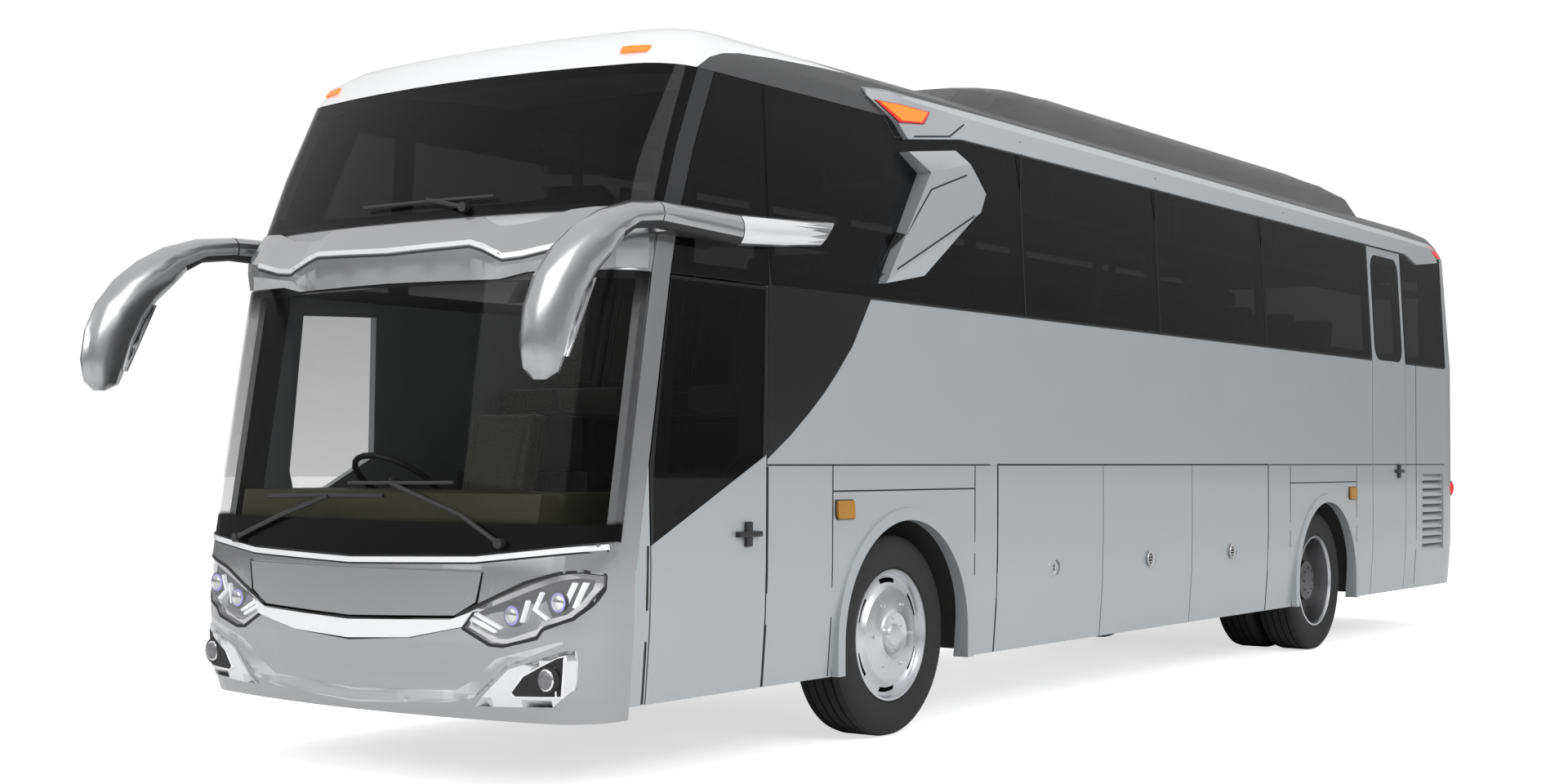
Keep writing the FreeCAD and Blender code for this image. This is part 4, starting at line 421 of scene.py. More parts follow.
def plate(form, outline, place, layer, pitch, material=0):
    """Adds a thin closed plate to a form: its flat outline is cut into strips and laid on a surface.

    The layer is the lift of the plate's foot and of its face off that surface.
    """
    low, high = layer
    flat = bmesh.new()
    flat.faces.new([flat.verts.new((u, v, 0)) for u, v in outline])
    for axis in (0, 1):
        values = [point[axis] for point in outline]
        count = int((max(values) - min(values)) / pitch)
        normal = Vector((1, 0, 0)) if axis == 0 else Vector((0, 1, 0))
        for i in range(1, count + 1):
            at = normal * (min(values) + (max(values) - min(values)) * i / (count + 1))
            geometry = flat.verts[:] + flat.edges[:] + flat.faces[:]
            bmesh.ops.bisect_plane(flat, geom=geometry, dist=TINY, plane_co=at, plane_no=normal)
    lifted = bmesh.ops.extrude_face_region(flat, geom=flat.faces[:])
    tops = [item for item in lifted["geom"] if isinstance(item, bmesh.types.BMVert)]
    bmesh.ops.translate(flat, verts=tops, vec=(0, 0, 1))
    for vert in flat.verts:
        vert.co = place(vert.co.x, vert.co.y, low + (high - low) * vert.co.z)
    bmesh.ops.recalc_face_normals(flat, faces=flat.faces)
    for face in flat.faces:
        face.material_index = material
    join(form, flat)


def ribbon(points, width):
    """Outline of a strip of one width along a line of points."""
    left = []
    right = []
    for i, (u, v) in enumerate(points):
        before = points[max(i - 1, 0)]
        after = points[min(i + 1, len(points) - 1)]
        along = Vector((after[0] - before[0], after[1] - before[1])).normalized()
        across = Vector((-along.y, along.x)) * width / 2
        left.append((u + across.x, v + across.y))
        right.append((u - across.x, v - across.y))
    return left + right[::-1]


def turned(form, profile, steps, centre, material=0):
    """Adds a solid of revolution about the Y axis; profile is (radius, y) points."""
    ring = bmesh.new()
    verts = [ring.verts.new((0, y, r)) for r, y in profile]
    edges = [ring.edges.new((a, b)) for a, b in zip(verts, verts[1:])]
    bmesh.ops.spin(ring, geom=verts + edges, cent=(0, 0, 0), axis=(0, 1, 0), angle=math.tau, steps=steps,
                   use_merge=True)
    bmesh.ops.remove_doubles(ring, verts=ring.verts, dist=TINY)
    bmesh.ops.recalc_face_normals(ring, faces=ring.faces)
    for face in ring.faces:
        face.material_index = material
    bmesh.ops.translate(ring, verts=ring.verts, vec=centre)
    join(form, ring)


def join(form, other):
    """Moves another form's faces into this one."""
    keep = bpy.data.meshes.new("part")
    other.to_mesh(keep)
    other.free()
    form.from_mesh(keep)
    bpy.data.meshes.remove(keep)


def flip_side(form):
    """Mirrors a form from the left side to the right one."""
    bmesh.ops.scale(form, verts=form.verts, vec=(1, -1, 1))
    bmesh.ops.reverse_faces(form, faces=form.faces)


def add_dome(form, radius, squash, place, material):
    """Adds a ball pressed flat along its axes."""
    dome = bmesh.new()
    bmesh.ops.create_uvsphere(dome, u_segments=24, v_segments=12, radius=radius)
    bmesh.ops.scale(dome, verts=dome.verts, vec=squash)
    for face in dome.faces:
        face.material_index = material
    bmesh.ops.translate(dome, verts=dome.verts, vec=place)
    join(form, dome)


def add_bar(form, size, edge, segments, place):
    """Adds a box with rounded edges."""
    bar = bmesh.new()
    bmesh.ops.create_cube(bar, size=1)
    bmesh.ops.scale(bar, verts=bar.verts, vec=size)
    bmesh.ops.bevel(bar, geom=bar.edges[:], offset=edge, segments=segments, profile=0.5, affect="EDGES",
                    material=-1)
    bmesh.ops.translate(bar, verts=bar.verts, vec=place)
    join(form, bar)


def bolt_ring(form, radius, count, place, size, turn=0.0, material=0):
    """Adds small round bolt heads on a circle about the Y axis."""
    for i in range(count):
        angle = math.tau * i / count + turn
        head = bmesh.new()
        bmesh.ops.create_cone(head, cap_ends=True, segments=12, radius1=size, radius2=size * 0.8, depth=size)
        bmesh.ops.rotate(head, verts=head.verts, matrix=Matrix.Rotation(-math.pi / 2, 3, "X"))
        for face in head.faces:
            face.material_index = material
        spot = Vector(place) + Vector((math.sin(angle), 0, math.cos(angle))) * radius
        bmesh.ops.translate(head, verts=head.verts, vec=spot)
        join(form, head)


def side_up(values):
    """Mirrors a half line of (across, height) points to both sides, left to right."""
    return [(-u, v) for u, v in reversed(values) if u > 0] + list(values)


def along_line(points, u):
    """Height of a line of points at one place, the same on both sides."""
    u = abs(u)
    for (a, low), (b, high) in zip(points, points[1:]):
        if u <= b:
            return low + (high - low) * max(u - a, 0) / (b - a)
    return points[-1][1]


# Body panels: heights where a finish changes, and lines of (across, height) on the nose
DARK_PILLAR_FOOT = 2.535
WINDOW_LINE = 2.236
DRIVER_GLASS_TOP = 2.235
DOOR_LINE = ((5.214, 1.055), (4.401, 1.434))
DIP = ((0.0, 0.0), (0.70, 0.019), (1.25, 0.080))
LIP_OUTER = ((0.0, 0.345), (0.53, 0.376), (0.69, 0.405), (0.86, 0.55), (1.12, 0.65))
LIP_INNER = ((0.0, 0.402), (0.57, 0.430), (0.66, 0.470), (0.80, 0.575), (1.12, 0.662))
LIP_END = 1.12

# The recess in the front mask, and the arc that its outer face follows in plan
RECESS_DEPTH = 0.030
RECESS_FOOT = 0.335
RECESS_FLOOR = 0.47
RECESS_TOP = 0.635
RECESS_END = 0.72
RECESS_WIDTH = 1.15
RECESS_PITCH = 0.035
RECESS_ROW = RECESS_PITCH * 0.8
RECESS_ROWS = 12
FLOOR_SHARE = 0.6
FLOOR_FOOT = 0.395
FACING = 0.25
NOSE_EDGE = 1.236
NOSE_RADIUS = 3.6
MASK_FRONT = 5.80
SKIRT_FRONT = 5.785
SKIRT_TOP = 0.427
RIM_FOOT = 0.66

# Mirror arms: two joints, the stretch whose under side is painted shade and the one that is bright, as (from,
# to) in X
ARM_JOINTS = ((4.716, 4.724), (5.346, 5.354))
ARM_SHADED = (4.70, 5.75)
ARM_BRIGHT = (4.10, 4.70)
ARM_UNDERSIDE = -0.45
ARM_UPRIGHT = 0.75

# Upholstery: rounded edge, smallest face that is crowned, and its steps as (inwards, outwards)
SOFT_EDGE = 0.022
SOFT_FACE = 0.016
SOFT_STEPS = ((0.030, 0.006), (0.005, -0.006), (0.005, 0.007), (0.040, 0.006))


def cut_along(form, place, normal):
    geometry = form.verts[:] + form.edges[:] + form.faces[:]
    bmesh.ops.bisect_plane(form, geom=geometry, dist=TINY, plane_co=place, plane_no=normal)


def cut_between(form, start, end):
    """Cuts the faces whose middle lies between two places, along the line that joins them seen from ahead."""
    low, high = sorted((start.y, end.y))
    faces = [face for face in form.faces if low <= face.calc_center_median().y <= high]
    edges = {edge for face in faces for edge in face.edges}
    verts = {vert for face in faces for vert in face.verts}
    along = (end - start).normalized()
    bmesh.ops.bisect_plane(form, geom=list(verts) + list(edges) + faces, dist=TINY, plane_co=start,
                           plane_no=Vector((0, -along.z, along.y)))


def finish_by(form, rule):
    """Gives each face the material whose number the rule returns for its centre."""
    for face in form.faces:
        face.material_index = rule(face.calc_center_median())


def split_form(node, height, above, below):
    """Copy of a node with one material above a height and another below it."""
    form = merged_form(node)
    cut_along(form, (0, 0, height), (0, 0, 1))
    finish_by(form, lambda at: above if at.z > height else below)
    return form


def door_form():
    """Front door whose upper part is dark over a slanting line."""
    (front, low), (back, high) = DOOR_LINE
    form = merged_form("front_door")
    cut_along(form, (front, 0, low), (high - low, 0, front - back))
    finish_by(form, lambda at: 1 if (at.z - low) * (front - back) > (high - low) * (front - at.x) else 0)
    return form


def mask_form():
    """Front mask whose lower lip runs into the recessed middle over a slanting facet; that facet is painted a
    lighter silver as a painted highlight.
    """
    form = merged_form("front_mask")
    steps = int(2 * RECESS_WIDTH / RECESS_PITCH)
    for i in range(steps + 1):
        cut_along(form, (0, RECESS_WIDTH * (2 * i / steps - 1), 0), (0, 1, 0))
    for i in range(RECESS_ROWS):
        cut_along(form, (0, 0, RECESS_FOOT + RECESS_ROW * i), (0, 0, 1))
    for y in sorted({across for line in (LIP_OUTER, LIP_INNER) for across, height in line[1:]}):
        for sign in (1, -1):
            cut_along(form, (0, sign * y, 0), (0, 1, 0))
    for line in (LIP_OUTER, LIP_INNER):
        for sign in (1, -1):
            for (a, low), (b, high) in zip(line, line[1:]):
                cut_between(form, Vector((0, sign * a, low)), Vector((0, sign * b, high)))
    bmesh.ops.recalc_face_normals(form, faces=form.faces)
    form.normal_update()
    # Forward-facing faces on the lip facet get the lighter silver, a painted highlight
    for face in form.faces:
        at = face.calc_center_median()
        between = along_line(LIP_OUTER, at.y) < at.z < along_line(LIP_INNER, at.y)
        face.material_index = 1 if between and abs(at.y) < LIP_END and face.normal.x > FACING else 0
    for vert in form.verts:
        y, z = vert.co.y, vert.co.z
        if abs(y) > RECESS_WIDTH or z > RECESS_END or vert.normal.x < FACING:
            continue
        level = MASK_FRONT if z > SKIRT_TOP else SKIRT_FRONT
        outer = level - NOSE_RADIUS + math.sqrt(NOSE_RADIUS ** 2 - y * y)
        floor = vert.co.x < outer - FLOOR_SHARE * RECESS_DEPTH and z > FLOOR_FOOT
        low, high = along_line(LIP_OUTER, y), along_line(LIP_INNER, y)
        share = min(max((z - low) / (high - low), 0), 1)
        fade = min(max((RECESS_TOP - z) / (RECESS_TOP - RECESS_FLOOR), 0), 1)
        vert.co.x += (RECESS_DEPTH if floor else 0) - RECESS_DEPTH * share * fade
    return form


def arms_form():
    """Mirror arms with narrow dark joints, painted shade on the under side of one stretch, and a bright
    stretch.
    """
    form = merged_form("mirror_arms")
    for joint in ARM_JOINTS:
        for x in joint:
            cut_along(form, (x, 0, 0), (1, 0, 0))
    form.normal_update()

    def rule(face):
        x = face.calc_center_median().x
        if any(start < x < end for start, end in ARM_JOINTS):
            return 1
        # Downward faces on this stretch are painted black: painted shade under the arm
        if ARM_SHADED[0] < x < ARM_SHADED[1] and face.normal.z < ARM_UNDERSIDE:
            return 1
        if ARM_BRIGHT[0] < x < ARM_BRIGHT[1] and abs(face.normal.z) < ARM_UPRIGHT:
            return 2
        return 0

    for face in form.faces:
        face.material_index = rule(face)
    return form


def soft_form(node):
    """Upholstered copy of a node: rounded edges, crowned faces and a sewn line round each."""
    form = merged_form(node)
    bmesh.ops.bevel(form, geom=form.edges[:], offset=SOFT_EDGE, segments=3, profile=0.5, affect="EDGES",
                    material=-1, clamp_overlap=True)
    for thickness, depth in SOFT_STEPS:
        wide = [face for face in form.faces if face.calc_area() > SOFT_FACE]
        bmesh.ops.inset_individual(form, faces=wide, thickness=thickness, depth=depth, use_even_offset=True)
    return form


# How a node's copy is made, and its materials, where that is more than one plain finish
SPLIT = {
    "side_glass_right": (lambda: split_form("side_glass_right", DRIVER_GLASS_TOP, 0, 1),
                         ["glass", "driver_glass"]),
    "mirror_arms": (arms_form, ["nose_silver", "rubber_and_shade", "bright_silver_and_highlight"]),
    "passenger_seats": (lambda: soft_form("passenger_seats"), ["cloth"]),
    "driver_seat": (lambda: soft_form("driver_seat"), ["driver_cloth"]),
    "front_surround": (lambda: split_form("front_surround", DARK_PILLAR_FOOT, 1, 0),
                       ["nose_silver", "dark_grey_and_shade"]),
    "front_door": (door_form, ["silver", "black_film"]),
    "left_side_wall": (lambda: split_form("left_side_wall", WINDOW_LINE, 1, 0), ["silver", "black_film"]),
    "right_side_wall": (lambda: split_form("right_side_wall", WINDOW_LINE, 1, 0), ["silver", "black_film"]),
    "front_mask": (mask_form, ["nose_silver", "lip_highlight_silver"]),
}


def dress_body():
    for name in SMOOTHED:
        form, keys = SPLIT[name][0](), SPLIT[name][1]
        sharp = ROUND_SHARP_ANGLE if name in ROUND else SHARP_ANGLE
        item = piece(name + "_skin", form, keys, body_of_node(name), sharp, True)
        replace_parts(item, name)
    for name, key in FINISH.items():
        if name not in SMOOTHED and name not in REPLACED:
            slots = nodes[name].data.materials
            slots.clear()
            slots.append(M[key])


for name in SMOOTHED:
    if name not in SPLIT:
        SPLIT[name] = (lambda node=name: merged_form(node), [FINISH[name]])
dress_body()


# Nose trim
LAMP = (
    (0.619, 0.751), (0.953, 0.898), (1.105, 0.942), (1.181, 0.950), (1.237, 0.936), (1.236, 0.886),
    (1.200, 0.808), (1.152, 0.757), (1.035, 0.713), (1.008, 0.676), (0.850, 0.635), (0.785, 0.638),
    (0.657, 0.699),
)
FOG = (
    (0.875, 0.534), (1.131, 0.622), (1.164, 0.622), (1.167, 0.578), (1.156, 0.462), (1.072, 0.384),
    (0.784, 0.373), (0.700, 0.371),
)
FOG_DARK = ((0.896, 0.440), (0.912, 0.425), (1.112, 0.432), (1.128, 0.597), (1.105, 0.590), (0.953, 0.509))
GUIDES = (
    ((0.672, 0.742), (0.800, 0.690)), ((0.696, 0.762), (0.826, 0.706)), ((0.952, 0.826), (0.925, 0.735)),
    ((1.018, 0.862), (0.984, 0.790), (1.046, 0.752)), ((1.184, 0.905), (1.151, 0.800)),
    ((1.150, 0.905), (1.118, 0.815)),
)
LAMP_EYES = ((0.876, 0.761), (1.089, 0.822))
FOG_EYE = (1.062, 0.500)
EYE_RADIUS = 0.038
FOG_EYE_RADIUS = 0.046
EYE_DEPTH = -0.030
FOG_EYE_DEPTH = 0.010
EYE_SQUASH = 0.32
EYE_RINGS = ((1.35, 0.004), (1.12, 0.010), (0.92, 0.016))
GUIDE_WIDTH = 0.011
RING_WIDTH = 0.022
TRIM_OFFSET = 0.005
TRIM_WIDTH = 0.014
FLOOR_INSET = -0.003
COVER_INSET = -0.002
FRAME_WIDTH = 0.012

# Layers of the lamps, as (foot, face) off the nose's surface
LAMP_FLOOR = (-0.046, -0.040)
LAMP_RING = (-0.036, -0.014)
LAMP_GUIDE = (-0.030, -0.010)
LAMP_COVER = (-0.004, 0.001)
LAMP_TRIM = (-0.002, 0.003)
FOG_PLATE = (-0.020, 0.012)
FOG_FRAME = (0.010, 0.016)
FOG_FACE = (0.015, 0.018)

# Lines across the nose, with strips as (width, raised by, thickness, material)
# The ledge under the windscreen: its white strip is a painted highlight on the silver ledge, and the thin
# black strip just under it is a painted shadow line
LEDGE_HEIGHT = 0.975
LEDGE_POINTS = (0, 0.35, 0.70, 0.95, 1.20, NOSE_EDGE)
LEDGE_STRIPS = ((0.024, 0.0, 0.010, 0), (0.006, 0.015, 0.011, 1), (0.008, -0.016, 0.002, 1))
# The band's crease: a bright strip along it is a painted highlight, and a dark strip just under it is painted
# shade in the crease
CREASE = ((0.0, 2.363), (0.489, 2.377), (0.565, 2.355), (0.68, 2.306), (0.783, 2.313), (0.996, 2.355))
CREASE_STRIPS = ((0.022, 0.0, 0.004, 2), (0.010, -0.022, 0.0015, 3))
STRIP_HIGH = ((0.0, 0.712), (0.590, 0.735), (0.700, 0.772))
STRIP_LOW = ((0.0, 0.631), (0.360, 0.649), (0.647, 0.705))
STRIP_FRAME_WIDTH = 0.010
STRIP_FRAME = (FOOT, 0.003)
STRIP_FACE = (0.001, 0.010)


def mirrored_place(sign):
    return lambda y, z, lift: on_nose(sign * min(y, NOSE_EDGE), z, lift)


def on_rim(y, z, lift):
    """Point on the mask's outer face, also where it lies over the recess."""
    spot = on_nose(y, max(z, RIM_FOOT), lift)
    return Vector((spot.x, y, z))


def grown(outline, distance):
    """Outline moved outwards from its middle by about a distance."""
    middle = sum((Vector(p) for p in outline), Vector((0, 0))) / len(outline)
    moved = []
    for point in outline:
        way = Vector(point) - middle
        moved.append(tuple(middle + way * (1 + distance / way.length)))
    return moved


def border(form, outline, distance, width, place, layer, material):
    """Adds a strip that follows a closed outline at a distance outside it, in two halves."""
    line = grown(outline, distance)
    half = len(line) // 2
    for part in (line[:half + 1], line[half:] + line[:1]):
        plate(form, ribbon(part, width), place, layer, PITCH_FINE, material)


def lamp_eye(form, y, z, radius, sign, depth, materials):
    """Adds a round lens with its bright ring, looking forward."""
    seat = on_nose(sign * y, z, depth)
    for (scale, reach), material in zip(EYE_RINGS, materials):
        add_dome(form, radius * scale, (EYE_SQUASH + reach, 1, 1), seat + Vector((reach, 0, 0)), material)


def add_headlamp(sign, side):
    place = mirrored_place(sign)
    shell = bmesh.new()
    plate(shell, grown(LAMP, FLOOR_INSET), place, LAMP_FLOOR, PITCH_NOSE)
    border(shell, LAMP, -RING_WIDTH, RING_WIDTH, place, LAMP_RING, 1)
    for line in GUIDES:
        plate(shell, ribbon(line, GUIDE_WIDTH), place, LAMP_GUIDE, PITCH_WIDE, 2)
    for y, z in LAMP_EYES:
        lamp_eye(shell, y, z, EYE_RADIUS, sign, EYE_DEPTH, (0, 3, 1))
    item = piece("headlamp_" + side, shell, ["lamp_shell", "chrome", "daylight", "ring_light"])
    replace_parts(item, "front_lamps")
    cover = bmesh.new()
    plate(cover, grown(LAMP, COVER_INSET), place, LAMP_COVER, PITCH_FINE)
    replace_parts(piece("headlamp_lens_" + side, cover, ["lens"]), "front_lamps")
    trim = bmesh.new()
    border(trim, LAMP, TRIM_OFFSET, TRIM_WIDTH, place, LAMP_TRIM, 0)
    plate(trim, FOG, place, FOG_PLATE, PITCH_FINE, 1)
    plate(trim, grown(FOG_DARK, FRAME_WIDTH), place, FOG_FRAME, PITCH_FINE, 2)
    plate(trim, FOG_DARK, place, FOG_FACE, PITCH_FINE, 0)
    lamp_eye(trim, *FOG_EYE, FOG_EYE_RADIUS, sign, FOG_EYE_DEPTH, (0, 2, 3))
    item = piece("fog_lamp_" + side, trim, ["rubber_and_shade", "bright_silver_and_highlight", "chrome", "lens_grey"])
    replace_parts(item, "front_lamps")


def add_strips(form, line, strips, pitch):
    """Adds strips that follow a half line across the nose, and its mirror image."""
    for width, raised, thickness, material in strips:
        moved = side_up([(y, z + raised) for y, z in line])
        plate(form, ribbon(moved, width), on_nose, (FOOT, thickness), pitch, material)


def add_nose_trim():
    form = bmesh.new()
    # The ledge's white strip is a painted highlight and its lowest black strip a painted shadow line
    ledge = [(y, LEDGE_HEIGHT + along_line(DIP, y)) for y in LEDGE_POINTS]
    add_strips(form, ledge, LEDGE_STRIPS, PITCH_NOSE)
    outline = side_up(STRIP_HIGH) + side_up(STRIP_LOW)[::-1]
    plate(form, grown(outline, STRIP_FRAME_WIDTH), on_rim, STRIP_FRAME, PITCH_NOSE, 1)
    plate(form, outline, on_rim, STRIP_FACE, PITCH_NOSE)
    # Crease strips: a painted highlight and, under it, painted shade
    add_strips(form, CREASE, CREASE_STRIPS, PITCH_FINE)
    piece("nose_trim", form, ["white_and_highlight", "rubber_and_shade", "bright_silver_and_highlight", "dark_grey_and_shade"])


for side, sign in (("left", 1), ("right", -1)):
    add_headlamp(sign, side)
add_nose_trim()


# Side trim
SWOOSH = ((4.372, 2.236), (3.483, 2.236), (3.655, 1.985), (3.80, 1.84), (3.897, 1.752), (4.02, 1.655),
          (4.19, 1.535), (4.372, 1.425))
SIDE_SEAMS = (
    ((3.824, 1.395), (3.824, 0.37)), ((3.824, 1.27), (2.441, 1.27)), ((2.441, 1.395), (2.441, 0.80)),
    ((2.188, 1.395), (2.188, 0.37)), ((4.375, 1.398), (-3.884, 1.398)),
    ((-4.688, 1.398), (-5.95, 1.398)), ((-1.712, 1.395), (-1.712, 0.37)),
    ((4.366, 1.39), (4.366, 0.37)), ((4.371, 1.39), (4.371, 0.37)), ((5.243, 1.05), (5.243, 0.37)),
    ((5.250, 1.05), (5.250, 0.37)), ((-2.129, 1.395), (-2.129, 0.80)),
    ((-2.129, 1.265), (-3.51, 1.265)), ((-3.51, 1.395), (-3.51, 0.80)),
    ((4.355, 3.14), (4.355, 2.24)), ((1.87, 3.17), (1.87, 2.24)), ((0.078, 3.17), (0.078, 2.24)),
    ((-1.688, 3.17), (-1.688, 2.24)), ((-4.95, 2.23), (-4.95, 0.40)),
    ((4.372, 2.232), (-3.88, 2.232)), ((-4.70, 2.232), (-5.95, 2.232)),
)
LATCHES = ((1.534, 0.803), (0.240, 0.807), (-1.053, 0.808))
MARKERS = ((3.721, 1.179), (-3.416, 1.176))
MARKER = ((-0.075, -0.045), (0.065, -0.045), (0.075, -0.02), (0.075, 0.045), (-0.065, 0.045), (-0.075, 0.02))
MARKER_FRAME_WIDTH = 0.008
MARKER_FRAME = (FOOT, 0.004)
MARKER_LENS = (0.002, 0.016)
# Lines on the side leaf; the first one runs along the leaf's crease and is a painted shade line
LEAF_LINES = (
    ((3.40, 2.355), (2.50, 2.745)), ((2.60, 2.955), (2.985, 2.835), (3.40, 2.40)),
    ((3.416, 3.30), (3.20, 3.09), (2.68, 3.16), (2.50, 3.25)), ((1.867, 3.16), (1.867, 3.31)),
    ((0.07, 3.16), (0.07, 3.31)), ((-2.10, 3.16), (-2.10, 3.31)),
)
REAR_CORNER = ((-5.45, 3.285), (-5.90, 3.265), (-5.95, 3.235), (-5.68, 3.185), (-5.58, 3.205))
AMBER = ((3.345, 3.262), (2.880, 3.262), (2.955, 3.192), (3.190, 3.168))
SWOOSH_LAYER = (FOOT, 0.0015)
SWOOSH_PITCH = 0.2
LEAF_WIDTH = 0.009
LEAF_LAYER = (FOOT, 0.002)
CORNER_LAYER = (FOOT, 0.006)

# The amber lamp's steps, as (grown by, layer, material)
AMBER_STEPS = ((0.014, (FOOT, 0.003), 0), (0.004, (0.001, 0.006), 3), (-0.020, (0.001, 0.010), 4))


def add_side_trim(place, side):
    form = bmesh.new()
    for line in SIDE_SEAMS:
        plate(form, ribbon(line, SEAM_WIDTH), place, SEAM_LAYER, PITCH_LONG)
    if side == "left":
        plate(form, SWOOSH, place, SWOOSH_LAYER, SWOOSH_PITCH, 1)
    for x, z in MARKERS:
        outline = [(x + u, z + v) for u, v in MARKER]
        plate(form, grown(outline, MARKER_FRAME_WIDTH), place, MARKER_FRAME, PITCH_SIDE)
        plate(form, outline, place, MARKER_LENS, PITCH_SIDE, 2)
    # Leaf lines in black; the one along the crease is painted shade
    for line in LEAF_LINES:
        plate(form, ribbon(line, LEAF_WIDTH), place, LEAF_LAYER, PITCH_SIDE)
    plate(form, REAR_CORNER, place, CORNER_LAYER, PITCH_SIDE, 3)
    for distance, layer, material in AMBER_STEPS:
        plate(form, grown(AMBER, distance), place, layer, PITCH_SIDE, material)
    piece("side_trim_" + side, form, ["rubber_and_shade", "black_film", "amber_dark", "red", "amber"])


add_side_trim(on_left, "left")
add_side_trim(on_right, "right")


# Tail: lamps as (low, high, material) between two places across, and their frame
TAIL_ACROSS = (0.955, 1.07)
TAIL_LAMPS = ((0.92, 1.09, 2), (1.11, 1.28, 1), (1.30, 1.48, 3))
TAIL_LAMP_LAYER = (0.001, 0.012)
TAIL_FRAME_HEIGHTS = (0.91, 1.49)
TAIL_FRAME_OFFSET = 0.012
TAIL_FRAME_WIDTH = 0.016
TAIL_FRAME = (FOOT, 0.006)
REFLECTOR = ((0.60, 0.62), (0.86, 0.62))
REFLECTOR_WIDTH = 0.05
REFLECTOR_LAYER = (FOOT, 0.008)
TAIL_X = -6.1

# Bars across the tail, as (half length, height, width, thickness, material)
TAIL_BARS = ((0.9, 0.70, 0.008, 0.002, 0), (0.9, 2.02, 0.008, 0.002, 0), (0.26, 0.56, 0.12, 0.006, 4),
             (0.30, 3.13, 0.035, 0.010, 1))


def add_rear_trim():
    """Seams, lamp frames and lamp parts on the tail, set off its surface."""
    tail = surface_of(["rear_mask", "engine_lid", "tail_lamps", "rear_window", "roof"])

    def on_tail(y, z, lift):
        hit = tail.ray_cast(Vector((-REACH, y, z)), Vector((1, 0, 0)))[0] or Vector((TAIL_X, y, z))
        return Vector((hit.x - lift, y, z))

    form = bmesh.new()
    for sign in (1, -1):
        inner, outer = (sign * across for across in TAIL_ACROSS)
        for low, high, material in TAIL_LAMPS:
            corners = ((inner, low), (outer, low), (outer, high), (inner, high))
            plate(form, corners, on_tail, TAIL_LAMP_LAYER, PITCH_WIDE, material)
        low, high = TAIL_FRAME_HEIGHTS
        corners = ((inner, low), (outer, low), (outer, high), (inner, high))
        border(form, corners, TAIL_FRAME_OFFSET, TAIL_FRAME_WIDTH, on_tail, TAIL_FRAME, 0)
        reflector = ribbon([(sign * y, z) for y, z in REFLECTOR], REFLECTOR_WIDTH)
        plate(form, reflector, on_tail, REFLECTOR_LAYER, PITCH_WIDE, 1)
    for half, height, width, thickness, material in TAIL_BARS:
        bar = ribbon(((-half, height), (half, height)), width)
        plate(form, bar, on_tail, (FOOT, thickness), PITCH_WIDE, material)
    piece("rear_trim", form, ["rubber_and_shade", "red", "lens_grey", "amber", "white_and_highlight"])


# Side lamp near each rear corner: its place, its shape and its domes as (radius, material, lift)
SIDE_LAMP = (-5.98, 1.19)
SIDE_LAMP_SQUASH = (0.8, 0.5, 1.15)
SIDE_LAMP_DOMES = ((0.062, 0, 0.0), (0.052, 1, 0.010), (0.030, 2, 0.020))


def add_rear_side_lamps():
    form = bmesh.new()
    for sign in (1, -1):
        for radius, material, lift in SIDE_LAMP_DOMES:
            seat = on_left(*SIDE_LAMP, lift)
            add_dome(form, radius, SIDE_LAMP_SQUASH, (seat.x, seat.y * sign, seat.z), material)
    piece("rear_side_lamps", form, ["rubber_and_shade", "red", "amber"])


add_rear_side_lamps()
add_rear_trim()


# Door handles, their bars as (length, height, depth, face's lift), and the seam on the rear door
HANDLES = (("front_door", 4.526, 1.081), ("rear_door", -4.50, 1.345))
HANDLE_BARS = ((0.18, 0.026, 0.034, 0.024), (0.046, 0.115, 0.020, 0.016))
HANDLE_EDGE = 0.005
HANDLE_LIFT = 0.002
DOOR_SEAM = ((-3.90, 1.398), (-4.67, 1.398))


def add_handles():
    """Cross shaped pull handles; each rides on its own door."""
    for door, x, z in HANDLES:
        form = bmesh.new()
        for length, height, depth, face in HANDLE_BARS:
            seat = on_left(x, z, face - depth / 2 + HANDLE_LIFT)
            add_bar(form, (length, depth, height), HANDLE_EDGE, 3, seat)
        if door == "rear_door":
            plate(form, ribbon(DOOR_SEAM, SEAM_WIDTH), on_left, SEAM_LAYER, PITCH_LONG)
        piece("handle_" + door, form, ["moulding_and_shade"], body_of_node(door))


add_handles()


# Luggage door latch: the profiles of its ring and its floor as (radius, out), and its bars
LATCH_RING = ((0, 0), (0.030, 0), (0.046, 0.002), (0.052, 0.012), (0.048, 0.018), (0.036, 0.012),
              (0.030, 0.006), (0, 0.004))
LATCH_FLOOR = ((0, 0), (0.040, 0), (0.040, 0.008), (0, 0.008))
LATCH_STEPS = 32
LATCH_BAR = (0.062, 0.008, 0.008)
LATCH_BAR_EDGE = 0.002
LATCH_BAR_OUT = 0.010
LATCH_BAR_HEIGHTS = (-0.018, 0.0, 0.018)


def add_latches(place, sign, side):
    for index, (x, z) in enumerate(LATCHES):
        form = bmesh.new()
        seat = place(x, z, 0)
        turned(form, LATCH_RING, LATCH_STEPS, (0, 0, 0))
        turned(form, LATCH_FLOOR, LATCH_STEPS, (0, 0, 0), 1)
        for height in LATCH_BAR_HEIGHTS:
            add_bar(form, LATCH_BAR, LATCH_BAR_EDGE, 2, (0, LATCH_BAR_OUT, height))
        if sign < 0:
            flip_side(form)
        bmesh.ops.translate(form, verts=form.verts, vec=seat)
        piece(f"latch_{side}_{index + 1}", form, ["aluminium", "rubber_and_shade"], f"luggage_door_{side}_{index + 1}")


add_latches(on_left, 1, "left")
add_latches(on_right, -1, "right")


# Wheels
def wheel_body(axle, side):
    return f"wheel_front_{side}" if axle == "front" else f"wheels_rear_{side}"


